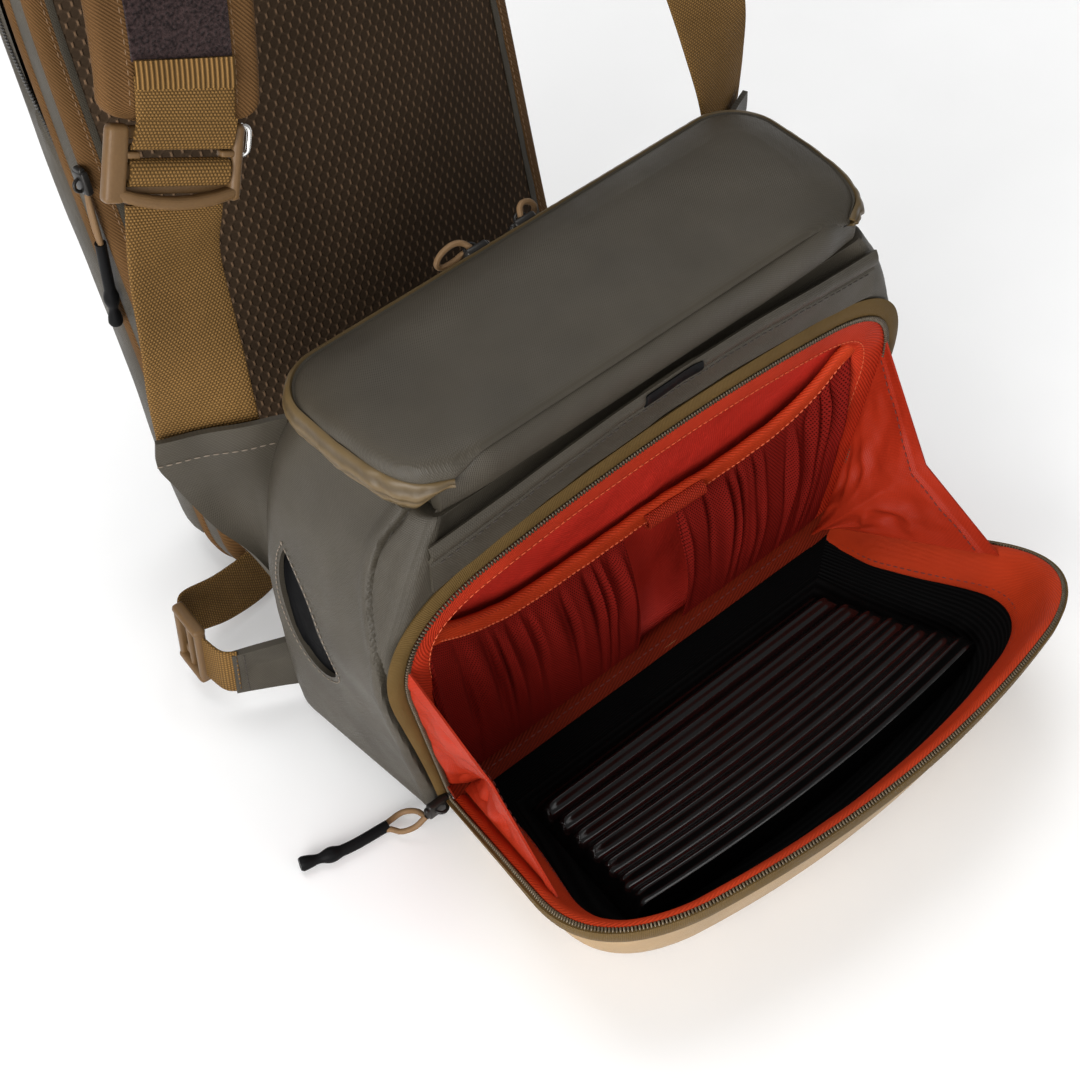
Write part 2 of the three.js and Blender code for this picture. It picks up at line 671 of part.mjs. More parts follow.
// A ladder buckle: a frame with chamfered corners and two slots
function ladderBuckle(frame) {
  const { wide, tall, thick, round, slots } = frame;
  const [x, y] = [wide / 2, tall / 2];
  const outline = flatShape([
    [-x + round, -y], [x - round, -y], [x, -y + round], [x, y - round],
    [x - round, y], [-x + round, y], [-x, y - round], [-x, -y + round],
  ]);
  for (const { low, high, half } of slots) {
    outline.holes.push(flatShape([[-half, low], [-half, high], [half, high], [half, low]]));
  }
  const geometry = new THREE.ExtrudeGeometry(outline, { depth: thick, bevelEnabled: false });
  return geometry.translate(0, 0, -thick / 2).applyMatrix4(buckleBasis(frame));
}

// Steel wire bowed out from the inner end of the shoulder buckle
function buckleWire() {
  return cord(wireLine.map(([x, y]) => [x, y, 0]), 2, 10).applyMatrix4(buckleBasis(shoulderBuckle));
}

// Back panel and bag, upright in their own frame: X across, Z up the panel, Y behind its front face

function panelHalf(up) {
  const i = Math.max(1, panelOutline.findIndex((row) => row.up >= up));
  const [low, high] = [panelOutline[i - 1], panelOutline[i]];
  return lerp(low.half, high.half, (up - low.up) / (high.up - low.up));
}

function panelPoint(x, up, depth) {
  const back = x * x / PANEL.bow;
  return point(x, depth + back * Math.cos(PANEL.lean), up + back * Math.sin(PANEL.lean));
}

function backPad() {
  const ups = panelOutline.map((row) => row.up);
  const rows = ups.length - 1;
  const face = (depth) => (u, v) => {
    const up = ups[Math.round(v * rows)];
    const half = panelHalf(up) - 2;
    return panelPoint((2 * u - 1) * half, THREE.MathUtils.clamp(up, PANEL.low + 0.6, PANEL.high - 0.6), depth);
  };
  return slab(10, rows, face(0), face(PANEL.pad));
}

// Outline of the panel as a closed line of x and distance up
function panelLoop(inset, low, high) {
  const rows = panelOutline.map(({ up, half }) => ({ up: THREE.MathUtils.clamp(up, low, high), half: half - inset }));
  rows[0].up = low;
  rows[rows.length - 1].up = high;
  const right = rows.map(({ up, half }) => [half, up]);
  const left = rows.map(({ up, half }) => [-half, up]).reverse();
  const top = [0.5, 0, -0.5].map((s) => [s * rows[rows.length - 1].half, high]);
  const bottom = [-0.5, 0, 0.5].map((s) => [s * rows[0].half, low]);
  return [...right, ...top, ...left, ...bottom];
}

function backBinding() {
  const corners = [
    { inset: 1.4, depth: -0.6 },
    { inset: -0.4, depth: -0.6 },
    { inset: -0.4, depth: PANEL.pad - 0.2 },
    { inset: 1.4, depth: PANEL.pad - 0.2 },
  ];
  const lines = corners.map(({ inset, depth }) => panelLoop(inset, PANEL.low - 1.6 + inset, PANEL.high + 1.6 - inset)
    .map(([x, up]) => panelPoint(x, up, depth)));
  return band(lines, { loop: true });
}

// The bag's zip is undone along its upper left side, where its mouth stands off the panel
function bagRing(inset, depth, isMouth = false) {
  return panelLoop(inset, BAG.low + inset, BAG.high - inset).map(([x, up]) => {
    const undone = THREE.MathUtils.clamp((up - BAG.mouthFrom) / BAG.mouthRun, 0, 1);
    return panelPoint(x, up, depth + (isMouth && x < -60 ? BAG.mouth * undone : 0));
  });
}

function backBag() {
  const { inset, wall, depth } = BAG;
  const start = PANEL.pad + GAP;
  const outer = [bagRing(inset, start, true), bagRing(inset - 2, start + 16), bagRing(inset + 6, depth)];
  const inner = [bagRing(inset + wall, start, true), bagRing(inset, start + 16), bagRing(inset + 8, depth - wall)];
  return loft([bagRing(inset + 22, depth + 5), ...outer.reverse(), ...inner, bagRing(inset + 24, depth + 3)]);
}

// Build every piece

place('body_shell', bodyShell(), looks.olive);
place('slot_patch', slotPatch(), looks.rubber);
place('lid_panel', lidPanel(), looks.olive);
place('lid_zip_tape', lidTape(), looks.tape);
place('front_roll', frontRoll(), looks.olive);
place('front_pocket', frontPocket(), looks.olive);
place('body_zip_tape', bodyZipTape(), looks.tape);

place('lining_wall', liningWall(), looks.red);
place('hinge_strip', hingeStrip(), looks.red);
place('pocket_elastic', pocketElastic(), looks.orange);
place('mesh_pocket_left', meshPocket(-104, -6), looks.deepRed);
place('mesh_pocket_right', meshPocket(26, 104), looks.deepRed);
place('key_loop', keyLoop(), looks.red);

place('tray_shell', trayShell(), looks.shell);
place('tray_liner', trayLiner(), looks.black);
place('tray_rim', trayRim(), looks.orange);
place('tray_zip_tape', trayZipTape(), looks.tape);
place('tray_foam', trayFoam(), looks.foam);

const traySlider = place('tray_slider', slider(10, 9, 4), looks.darkMetal);
traySlider.position.set(-120.5, -42.5, 12);
traySlider.rotation.y = Math.PI;
place('tray_pull_cord', cord(trayPullCord, 2.4, 6), looks.tan);
place('tray_pull_tube', cord(trayPullTube, 5.2, 8, 10), looks.rubber);

for (const { name, x, turn } of [{ name: 'left', x: -16, turn: 1 }, { name: 'right', x: 8, turn: -1 }]) {
  const zipEnd = new THREE.Group();
  zipEnd.position.x = x;
  zipEnd.scale.x = turn;
  pack.add(zipEnd);
  const head = place(`lid_slider_${name}`, slider(10, 8, 4), looks.darkMetal, zipEnd);
  head.position.set(0, 39.2, 182);
  place(`lid_pull_${name}`, cord(lidPullLoop, 2.4, 10), looks.tan, zipEnd);
}

// Each half of the harness is drawn for the left and mirrored for the right
for (const { name, side } of [{ name: 'left', side: 1 }, { name: 'right', side: -1 }]) {
  const half = new THREE.Group();
  half.scale.x = side;
  pack.add(half);
  place(`gusset_${name}`, gusset(), looks.red, half);
  place(`wing_${name}`, wing(), looks.olive, half);
  place(`shoulder_webbing_${name}`, ribbon(webbingRoute, WEBBING, 10), looks.tan, half);
  place(`shoulder_buckle_${name}`, ladderBuckle(shoulderBuckle), looks.buckle, half);
  place(`buckle_wire_${name}`, buckleWire(), looks.steel, half);
  place(`shoulder_pad_${name}`, ribbon(padRoute, PAD_STRAP, 16), looks.tan, half);
  place(`lower_tab_${name}`, lowerTab(), looks.olive, half);
  place(`lower_webbing_front_${name}`, ribbon(lowerFront, SIDE_WEBBING, 4), looks.tan, half);
  place(`lower_buckle_${name}`, ladderBuckle(lowerBuckle), looks.buckle, half);
  place(`lower_webbing_back_${name}`, ribbon(lowerBack, SIDE_WEBBING, 8), looks.tan, half);
}

const back = new THREE.Group();
back.position.y = PANEL.foot;
back.rotation.x = -PANEL.lean;
pack.add(back);
place('back_pad', backPad(), looks.mesh, back);
place('back_binding', backBinding(), looks.tan, back);
place('back_bag', backBag(), looks.olive, back);
const bagSlider = place('bag_slider', slider(10, 8, 4), looks.darkMetal, back);
bagSlider.position.copy(panelPoint(-105.9, 204, -2));
bagSlider.rotation.setFromRotationMatrix(new THREE.Matrix4().makeBasis(point(0, 0, 1), point(1, 0, 0), point(0, 1, 0)));
place('bag_pull_cord', cord(bagPullCord, 2.4, 6), looks.tan);
place('bag_pull_tube', cord(bagPullTube, 5.2, 6, 10), looks.rubber);

export default pack;
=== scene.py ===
"""Cloth, zips and harness of a chest pack with its fold-down work tray open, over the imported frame."""

import math

import bpy
from mathutils import Matrix, Vector, noise


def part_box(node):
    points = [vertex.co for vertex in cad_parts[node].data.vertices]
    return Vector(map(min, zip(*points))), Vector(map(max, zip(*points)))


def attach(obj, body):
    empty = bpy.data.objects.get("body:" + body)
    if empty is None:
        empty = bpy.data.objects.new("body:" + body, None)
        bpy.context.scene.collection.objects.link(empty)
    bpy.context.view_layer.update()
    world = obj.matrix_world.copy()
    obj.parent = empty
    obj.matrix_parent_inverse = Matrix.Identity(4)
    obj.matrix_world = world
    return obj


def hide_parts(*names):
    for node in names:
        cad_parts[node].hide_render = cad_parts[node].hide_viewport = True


bl_info = {
    "name": "Chest pack",
    "version": (1, 0, 0),
    "blender": (4, 5, 0),
    "location": "3D View > Sidebar > Chest pack",
    "description": "Builds the cloth, zips, harness and stage of a chest pack",
    "category": "Object",
}

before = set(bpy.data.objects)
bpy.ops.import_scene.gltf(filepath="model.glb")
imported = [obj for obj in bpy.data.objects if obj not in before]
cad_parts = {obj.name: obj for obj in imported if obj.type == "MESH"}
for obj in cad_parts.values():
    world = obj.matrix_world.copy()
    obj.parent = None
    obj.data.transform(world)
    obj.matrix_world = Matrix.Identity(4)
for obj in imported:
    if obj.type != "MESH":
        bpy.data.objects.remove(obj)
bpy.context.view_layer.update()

# The frame's sizes that the cloth follows, in millimetres
MM = 0.001
HINGE_Y, HINGE_Z, FRONT_LEAN = -40.0, 14.0, 0.033
ZIP_FOOT, ZIP_TOP, ZIP_LENGTH, ZIP_CORNER = 110.0, 138.0, 120.0, 45.0
ZIP_STEPS = 240
ARCH_BODY, ARCH_TRAY = 16.5, 27.0
TRAY_TILT, TRAY_HINGE_Y, TRAY_FOOT, TRAY_SHRINK, TRAY_REACH = math.radians(21.5), -43.5, 12.0, 0.83, 0.72
TRAY_MIDDLE = -108.0
PANEL_LEAN, PANEL_FOOT, PANEL_BOW = math.radians(17), 88.0, 600.0

# Height, half widths at the front and back, front face, back face
BODY = [
    (0, 110, 112, -36, 43),
    (6, 114.5, 117.5, -39.7, 47),
    (14, 116, 119.5, -40, 47),
    (55, 125.5, 125.5, -41.4, 46),
    (95, 134.5, 128, -42.7, 45),
    (122, 133, 127.5, -43.6, 44),
    (142, 127, 125, -44.2, 43),
    (160, 119, 121, -43.4, 40.5),
    (175, 110, 115.5, -42, 36),
]
FRONT_ROUND, BACK_ROUND = 7.0, 16.0

# Depth and height of points round the slot in the left side, from its top down the front edge
SLOT = [
    (23.5, 121), (16.5, 115), (10, 108), (5.2, 100), (2, 90.5), (-0.6, 80.5), (-2.6, 71), (1.6, 63.5), (9, 59),
    (17, 60.5), (23, 68.5), (26.4, 82), (27.4, 98), (26.4, 112),
]

# Distance up the back panel and its half width there
PANEL = [(6.5, 84), (13, 93), (28, 98), (110, 100), (220, 103), (295, 102), (318, 95), (330, 78)]

# Left strap routes: a point of the middle line and the direction across the strap
WEBBING_ROUTE = [
    ((-131.6, 57.2, 158), (-0.894, 0.447, 0)),
    ((-131.6, 59.8, 181), (-0.95, 0.3, 0.02)),
    ((-130, 64, 205), (-0.993, 0.089, 0.078)),
    ((-126.8, 71, 230), (-0.979, 0.014, 0.207)),
    ((-120.6, 76, 250), (-0.906, 0.177, 0.386)),
]
PAD_ROUTE = [
    ((-108.1, 85.2, 275.2), (-0.906, 0.177, 0.386)),
    ((-104, 89, 293), (-0.92, 0.16, 0.35)),
    ((-98, 98, 318), (-0.95, 0.15, 0.25)),
    ((-88, 118, 342), (-0.97, 0.18, 0.12)),
    ((-77, 146, 354), (-0.99, 0.12, 0.03)),
    ((-68, 175, 348), (-1, 0.04, 0)),
    ((-64, 192, 334), (-1, 0, 0)),
    ((-63, 197, 319), (-1, 0, 0)),
    ((-63, 196, 308), (-1, 0, 0)),
]
LOWER_FRONT_ROUTE = [
    ((-135.5, 54.5, 24.5), (0, 0, 1)),
    ((-140.4, 59.8, 24.6), (0, 0, 1)),
    ((-141.6, 73, 25), (0, 0, 1)),
]
LOWER_BACK_ROUTE = [
    ((-139.9, 86, 25), (0, 0, 1)),
    ((-133, 94, 23), (0, 0.1, 1)),
    ((-115, 95, 18), (0, 0.22, 1)),
    ((-96, 97.4, 15.5), (0, 0.28, 1)),
    ((-80, 101.6, 15.5), (0, 0.29, 1)),
]
SHOULDER_BUCKLE = ((-114.8, 80.2, 261.1), (0.906, -0.177, -0.386), (0.42, 0.3, 0.85))
LOWER_BUCKLE = ((-141, 79, 25), (0, 0, 1), (0.12, 1, 0))

# Out from the body's left back corner along its cloth wing and tab, and the way those face
OUTWARD, REARWARD = Vector((-0.894, 0.447, 0)), Vector((0.447, 0.894, 0))

# The two sides: a name, and whether the left piece is mirrored
SIDES = (("left", False), ("right", True))

# The lid's left cord loop: distance from its slider, depth and height
LID_LOOP = [
    (-0.6, 43.6, 188.6), (-3, 46.2, 190.6), (-7, 47.4, 191), (-12, 47.6, 189.2), (-14.6, 47, 186.4),
    (-13, 46.2, 184.2), (-8, 45.4, 184.6), (-4, 44.6, 186.6), (-0.6, 43.6, 187.8),
]

# The two pulls: from the slider down to the end of the sleeve
TRAY_CORD = [(-120.6, -43, 12), (-122.5, -39, 8), (-126, -34.5, 4.6), (-130, -31.8, 3.6)]
TRAY_TUBE = [(-130.9, -31.5, 3.6), (-150, -28.7, 3.2), (-167.8, -22.4, 3.2)]
BAG_CORD = [(-105.8, 162.5, 190.3), (-106.6, 160.4, 183), (-106.8, 158.8, 175), (-106.6, 158, 169.5)]
BAG_TUBE = [(-106.6, 157.9, 169), (-106.4, 157.4, 147), (-106.4, 157, 127)]


class ChestPackColours(bpy.types.PropertyGroup):
    """Colours of the pack's cloths and hardware"""

    def tint(name, description, default):
        return bpy.props.FloatVectorProperty(
            name=name, description=description, default=default, size=3, subtype="COLOR", min=0, max=1
        )

    olive: tint("Olive", "Coated cloth of the body, lid and bag", (0.0488, 0.0408, 0.0288))
    webbing: tint("Webbing", "Straps", (0.225, 0.122, 0.038))
    binding: tint("Binding", "Twill tape on the straps and the panel", (0.112, 0.056, 0.020))
    zip_tape: tint("Zip tape", "Coated tape beside the front zip", (0.107, 0.066, 0.023))
    lid_tape: tint("Lid tape", "Coated tape round the lid", (0.090, 0.059, 0.024))
    facing: tint("Facing", "Twill inside the front zip", (0.42, 0.030, 0.010))
    red: tint("Red", "Lining and gussets", (0.47, 0.024, 0.014))
    orange: tint("Orange", "Bound edges inside the pack", (0.40, 0.034, 0.008))
    red_mesh: tint("Red mesh", "Gathered pockets", (0.170, 0.008, 0.005))
    tan_shell: tint("Tan shell", "Moulded tray", (0.33, 0.206, 0.086))
    panel: tint("Panel mesh", "Spacer mesh of the back panel", (0.042, 0.0265, 0.0155))
    buckle: tint("Buckle", "Moulded buckles", (0.130, 0.071, 0.027))


class ChestPackSizes(bpy.types.PropertyGroup):
    """Sizes of the pack's trim"""

    def length(name, description, default):
        return bpy.props.FloatProperty(
            name=name, description=description, default=default, min=0.0001, max=0.2, subtype="DISTANCE"
        )

    tooth_pitch: length("Zip pitch", "Distance from one zip tooth to the next", 0.0014)
    stitch_pitch: length("Stitch pitch", "Distance from one stitch to the next", 0.0034)
    webbing_width: length("Webbing width", "Width of the shoulder webbing", 0.038)
    side_webbing_width: length("Side webbing width", "Width of the side webbing", 0.025)
    webbing_thickness: length("Webbing thickness", "Thickness of all webbing", 0.0016)
    pad_width: length("Pad width", "Width of the padded shoulder straps", 0.062)
    cord_diameter: length("Cord diameter", "Diameter of the pull cords", 0.0024)


# Numbers and lines


def lerp(a, b, t):
    return a + (b - a) * t


def ease(low, high, x):
    """A smooth rise from 0 at low to 1 at high."""
    t = min(max((x - low) / (high - low), 0.0), 1.0)
    return t * t * (3 - 2 * t)


def hump(x, middle, half):
    """A smooth hump, 1 in the middle and 0 from half away."""
    d = (x - middle) / half
    return (1 - d * d) ** 2 if abs(d) < 1 else 0.0


def crease(point, size, seed=0.0):
    """Soft unevenness from -1 to 1, with hollows about size millimetres apart."""
    return noise.noise(Vector(point) / size + Vector((seed, 1.7 * seed, 0.3)))


def track(rows, x):
    """Smooth values of a table at x, whose first column rises."""
    i = 0
    while i < len(rows) - 2 and rows[i + 1][0] <= x:
        i += 1
    a, b = rows[i], rows[i + 1]
    before, after = rows[max(i - 1, 0)], rows[min(i + 2, len(rows) - 1)]
    width = b[0] - a[0]
    t = min(max((x - a[0]) / width, 0.0), 1.0)
    values = []
    for k in range(1, len(a)):
        start = (b[k] - before[k]) / (b[0] - before[0]) * width
        end = (after[k] - a[k]) / (after[0] - a[0]) * width
        rise = a[k] * (2 * t**3 - 3 * t**2 + 1) + b[k] * (3 * t**2 - 2 * t**3)
        values.append(rise + start * (t**3 - 2 * t**2 + t) + end * (t**3 - t**2))
    return values


def spline(points, t):
    """A point of the smooth line through points, t from 0 to 1."""
    last = len(points) - 1
    place = min(max(t, 0.0), 1.0) * last
    i = min(int(place), last - 1)
    f = place - i
    b, c = Vector(points[i]), Vector(points[i + 1])
    a = Vector(points[i - 1]) if i > 0 else b * 2 - c
    d = Vector(points[i + 2]) if i + 2 <= last else c * 2 - b
    rise = (c - a) * (f / 2)
    bend = (a * 2 - b * 5 + c * 4 - d) * (f * f / 2)
    turn = (b * 3 - a - c * 3 + d) * (f**3 / 2)
    return b + rise + bend + turn


def smooth_line(points, count):
    return [spline(points, i / count) for i in range(count + 1)]


def resample(line, count):
    """The same line with count + 1 points an equal distance apart."""
    reach = [0.0]
    for a, b in zip(line, line[1:]):
        reach.append(reach[-1] + (b - a).length)
    out, i = [], 0
    for k in range(count + 1):
        goal = reach[-1] * k / count
        while i < len(line) - 2 and reach[i + 1] < goal:
            i += 1
        span = max(reach[i + 1] - reach[i], 1e-9)
        out.append(line[i].lerp(line[i + 1], min((goal - reach[i]) / span, 1.0)))
    return out


def walk(line, distance):
    """The point a distance along a line."""
    for a, b in zip(line, line[1:]):
        step = (b - a).length
        if distance <= step:
            return a.lerp(b, distance / step)
        distance -= step
    return line[-1].copy()


def zip_line(arch, out=0.0, count=ZIP_STEPS):
    """The zip's open line in its own plane, from the hinge's left end round to its right end, pushed out."""

    def crown(x):
        return ZIP_LENGTH + arch * (1 - (x / ZIP_TOP) ** 2)

    foot, apex = Vector((-ZIP_FOOT, 0)), Vector((-ZIP_TOP, ZIP_LENGTH))
    side = apex + (foot - apex).normalized() * ZIP_CORNER
    shoulder = Vector((ZIP_CORNER - ZIP_TOP, crown(ZIP_CORNER - ZIP_TOP)))
    left = [foot.lerp(side, i / 16) for i in range(16)]
    left += [side.lerp(apex, i / 24).lerp(apex.lerp(shoulder, i / 24), i / 24) for i in range(25)]
    middle = [Vector((lerp(shoulder.x, 0, i / 24), crown(lerp(shoulder.x, 0, i / 24)))) for i in range(1, 25)]
    half = left + middle
    whole = resample(half + [Vector((-p.x, p.y)) for p in reversed(half[:-1])], count)
    moved = []
    for i, p in enumerate(whole):
        along = (whole[min(i + 1, count)] - whole[max(i - 1, 0)]).normalized()
        moved.append(Vector((p.x - along.y * out, p.y + along.x * out)))
    return moved


def front_y(z):
    return HINGE_Y - FRONT_LEAN * (z - HINGE_Z)


def on_front(p, ahead):
    return Vector((p.x, front_y(HINGE_Z + p.y) - ahead, HINGE_Z + p.y))


def on_tray(p, drop):
    y = TRAY_HINGE_Y - math.cos(TRAY_TILT) * p.y - math.sin(TRAY_TILT) * drop
    return Vector((p.x, y, HINGE_Z + math.sin(TRAY_TILT) * p.y - math.cos(TRAY_TILT) * drop))


def end_shares():
    """How far each point of the zip's line is from its nearer end, as a share of the line."""
    return [min(i, ZIP_STEPS - i) / ZIP_STEPS for i in range(ZIP_STEPS + 1)]


def tray_outline(inset):
    line = zip_line(ARCH_TRAY, -inset)
    for p in line:
        p.y = max(p.y, min(max(inset, 1.0), 3.4))
    return line


def tray_foot(p, z):
    return Vector((p.x * TRAY_SHRINK, TRAY_HINGE_Y - TRAY_FOOT - TRAY_REACH * math.cos(TRAY_TILT) * p.y, z))


def tray_ring(depth, inset, floor=0.0):
    """A line of the tray's wall: depth 0 at the rim and 1 at a floor height."""
    ring = []
    for p in tray_outline(inset):
        rim, foot = on_tray(p, 0.0), tray_foot(p, floor)
        at = rim.lerp(foot, depth)
        at.z -= 0.12 * math.sin(math.pi * max(depth, 0.0)) * (rim.z - foot.z)
        ring.append(at)
    return ring


def tray_loop(depth, inset, floor=0.0):
    """The same line closed along the hinge."""
    ring = eased_ring(depth, inset, floor)
    return ring + [ring[-1].lerp(ring[0], i / 60) for i in range(1, 60)]


def eased_ring(depth, inset, floor=0.0):
    """The wall's line, drawn out to the rim's own edge near the hinge and along the front."""
    slim, wide = (tray_ring(depth, i, floor) for i in (min(inset, 6.5), inset))
    shares = [0.74 * ease(0.0, 0.07, m) - 0.27 * ease(0.09, 0.21, m) for m in end_shares()]
    return [a.lerp(b, s) for a, b, s in zip(slim, wide, shares)]


def side_x(y, z, inset):
    """Half width of the body's side wall at a depth and height."""
    front, back, y_front, y_back = track(BODY, z)
    start, end = y_front + FRONT_ROUND, y_back - BACK_ROUND
    if y <= end:
        return lerp(front, back, (y - start) / (end - start)) - inset
    return back - BACK_ROUND + math.sqrt(max((BACK_ROUND - inset) ** 2 - (y - end) ** 2, 0))


def root_at(z, seat):
    """How far out from a seat an upright plate meets the body's rounded back corner."""
    _, back, _, y_back = track(BODY, z)
    away = Vector((seat[0] + back - BACK_ROUND, seat[1] - y_back + BACK_ROUND))
    along = away.dot(OUTWARD.xy)
    return -along + math.sqrt(max(along**2 - away.length_squared + BACK_ROUND**2, 0)) + 1.6


def panel_point(x, up, depth):
    """A point of the leaning back panel: across, up the panel and behind its front face."""
    back = x * x / PANEL_BOW
    y = depth + back * math.cos(PANEL_LEAN)
    z = up + back * math.sin(PANEL_LEAN)
    turn = Matrix.Rotation(-PANEL_LEAN, 3, "X")
    return turn @ Vector((x, y, z)) + Vector((0, PANEL_FOOT, 0))


def panel_edge(inset, low, high):
    """The back panel's outline as a closed line of x and distance up."""
    ups = [low + (high - low) * (0.5 - 0.5 * math.cos(math.pi * i / 110)) for i in range(111)]
    right = [Vector((track(PANEL, up)[0] - inset, up)) for up in ups]
    top = [Vector((lerp(right[-1].x, -right[-1].x, i / 50), high)) for i in range(1, 50)]
    left = [Vector((-p.x, p.y)) for p in reversed(right)]
    bottom = [Vector((lerp(left[-1].x, -left[-1].x, i / 50), low)) for i in range(1, 50)]
    return right + top + left + bottom


def buckle_basis(seat):
    at, across, up = (Vector(v) for v in seat)
    x = across.normalized()
    z = x.cross(up).normalized()
    y = z.cross(x)
    return Matrix.Translation(at) @ Matrix((x, y, z)).transposed().to_4x4()


# Mesh tools


def deselect():
    if bpy.context.mode != "OBJECT":
        bpy.ops.object.mode_set(mode="OBJECT")
    bpy.ops.object.select_all(action="DESELECT")


def activate(piece):
    deselect()
    piece.select_set(True)
    bpy.context.view_layer.objects.active = piece


def modify(piece, kind, **settings):
    """Adds a modifier and applies it."""
    activate(piece)
    modifier = piece.modifiers.new(kind.title(), kind)
    for key, value in settings.items():
        setattr(modifier, key, value)
    bpy.ops.object.modifier_apply(modifier=modifier.name)
    return piece


def sheet(name, columns, rows, place, closed=False, capped=False, mirror=False):
    """A grid laid on place(u, v), u and v from 0 to 1, with a UV map that runs along the cloth in metres."""
    deselect()
    bpy.ops.mesh.primitive_grid_add(x_subdivisions=columns, y_subdivisions=rows, size=1)
    piece = bpy.context.object
    piece.name = piece.data.name = name
    points = {}
    spots = []
    for vertex in piece.data.vertices:
        spot = (round((vertex.co.x + 0.5) * columns), round((vertex.co.y + 0.5) * rows))
        at = Vector(place(spot[0] / columns, spot[1] / rows)) * MM
        if mirror:
            at.x = -at.x
        vertex.co = at
        points[spot] = at.copy()
        spots.append(spot)
    across, up = [0.0], [0.0]
    for c in range(columns):
        across.append(across[-1] + (points[c + 1, rows // 2] - points[c, rows // 2]).length)
    for r in range(rows):
        up.append(up[-1] + (points[columns // 2, r + 1] - points[columns // 2, r]).length)
    layer = piece.data.uv_layers.active.data
    for loop in piece.data.loops:
        c, r = spots[loop.vertex_index]
        layer[loop.index].uv = (across[c], up[r])
    if closed or capped:
        bpy.ops.object.mode_set(mode="EDIT")
        bpy.ops.mesh.select_all(action="SELECT")
        bpy.ops.mesh.remove_doubles(threshold=0.00001)
        if capped:
            bpy.ops.mesh.select_all(action="SELECT")
            bpy.ops.mesh.fill_holes(sides=0)
        bpy.ops.mesh.select_all(action="SELECT")
        bpy.ops.mesh.normals_make_consistent(inside=False)
        bpy.ops.object.mode_set(mode="OBJECT")
    elif mirror:
        piece.data.flip_normals()
    return piece


def laid(name, lines, closed=False, capped=False):
    """A sheet whose rows lie on lines of equally many points, closed from each line's end to its start."""
    count, rows = len(lines[0]), len(lines) - 1
    columns = count if closed else count - 1

    def place(u, v):
        return lines[round(v * rows)][round(u * columns) % count]

    return sheet(name, columns, rows, place, closed, capped)


def thicken(piece, thickness, offset=0.0):
    return modify(piece, "SOLIDIFY", thickness=thickness * MM, offset=offset, use_even_offset=False)


def dress(piece, finish, nodes=(), angle=45):
    """Gives a piece its finish, shades it, hangs it on the root and hides the parts it stands for."""
    piece.data.materials.clear()
    piece.data.materials.append(bpy.data.materials[finish])
    activate(piece)
    bpy.ops.object.shade_smooth_by_angle(angle=math.radians(angle))
    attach(piece, "root")
    if nodes:
        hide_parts(*nodes)
    return piece


def flat_section(wide, thick, across=12, edge=4):
    """Corners of a flat strap's section with rounded edges, as distances across and out."""
    r = thick / 2
    half = wide / 2 - r
    turns = [math.pi * i / edge for i in range(1, edge)]
    corners = [(lerp(-half, half, i / across), r) for i in range(across + 1)]
    corners += [(half + r * math.sin(turn), r * math.cos(turn)) for turn in turns]
    corners += [(lerp(half, -half, i / across), -r) for i in range(across + 1)]
    corners += [(-half - r * math.sin(turn), -r * math.cos(turn)) for turn in turns]
    return corners


def strap_frame(stations, t):
    """Middle, direction across and facing of a strap at t."""
    points = [p for p, _ in stations]
    turns = [a for _, a in stations]
    along = (spline(points, t + 0.01) - spline(points, t - 0.01)).normalized()
    across = spline(turns, t).normalized()
    return spline(points, t), across, across.cross(along).normalized()


def strap(name, stations, section, steps, mirror=False, start=0.0, end=1.0, lift=None, taper=None):
    """A closed strap along stations, its section lifted off the middle line where lift says."""
    frames = [strap_frame(stations, lerp(start, end, i / steps)) for i in range(steps + 1)]
    count = len(section)

    def place(u, v):
        middle, across, face = frames[round(v * steps)]
        side, out = section[round(u * count) % count]
        if lift:
            out += lift(side)
        if taper:
            side *= taper(v)
        return middle + across * side + face * out

    return sheet(name, count, steps, place, closed=True, capped=True, mirror=mirror)


def tube(name, points, radius, steps, sides=10, mirror=False):
    """A round rod along a smooth line, its radius a number or a function of t."""
    line = smooth_line(points, steps)
    frames = []
    up = Vector((0.2, 0.1, 1)).normalized()
    for i, p in enumerate(line):
        along = (line[min(i + 1, steps)] - line[max(i - 1, 0)]).normalized()
        side = along.cross(up)
        side = side.normalized() if side.length > 0.05 else frames[-1][1]
        up = side.cross(along).normalized()
        frames.append((p, side, up.copy()))

    def place(u, v):
        p, side, top = frames[round(v * steps)]
        turn = 2 * math.pi * u
        r = radius(v) if callable(radius) else radius
        return p + (side * math.cos(turn) + top * math.sin(turn)) * r

    return sheet(name, sides, steps, place, closed=True, capped=True, mirror=mirror)


def repeat(name, unit, places):
    """One mesh of copies of a unit, each at its own place in millimetres. The unit is used up."""
    points, faces = [], []
    for place in places:
        base = len(points)
        points += [(place @ v.co) * MM for v in unit.data.vertices]
        faces += [[base + i for i in polygon.vertices] for polygon in unit.data.polygons]
    mesh = bpy.data.meshes.new(name)
    mesh.from_pydata(points, [], faces)
    mesh.update()
    bpy.data.objects.remove(unit)
    piece = bpy.data.objects.new(name, mesh)
    bpy.context.scene.collection.objects.link(piece)
    return piece


def places_along(line, facings, pitch):
    """Frames along a line, X along it and Z facing out, at an equal pitch."""
    total = sum((b - a).length for a, b in zip(line, line[1:]))
    count = max(int(total / pitch), 1)
    even = resample(line, count)
    places = []
    for i, p in enumerate(even):
        along = (even[min(i + 1, count)] - even[max(i - 1, 0)]).normalized()
        facing = Vector(facings[round(i / count * (len(facings) - 1))])
        y = facing.cross(along).normalized()
        z = along.cross(y)
        places.append(Matrix.Translation(p) @ Matrix((along, y, z)).transposed().to_4x4())
    return places


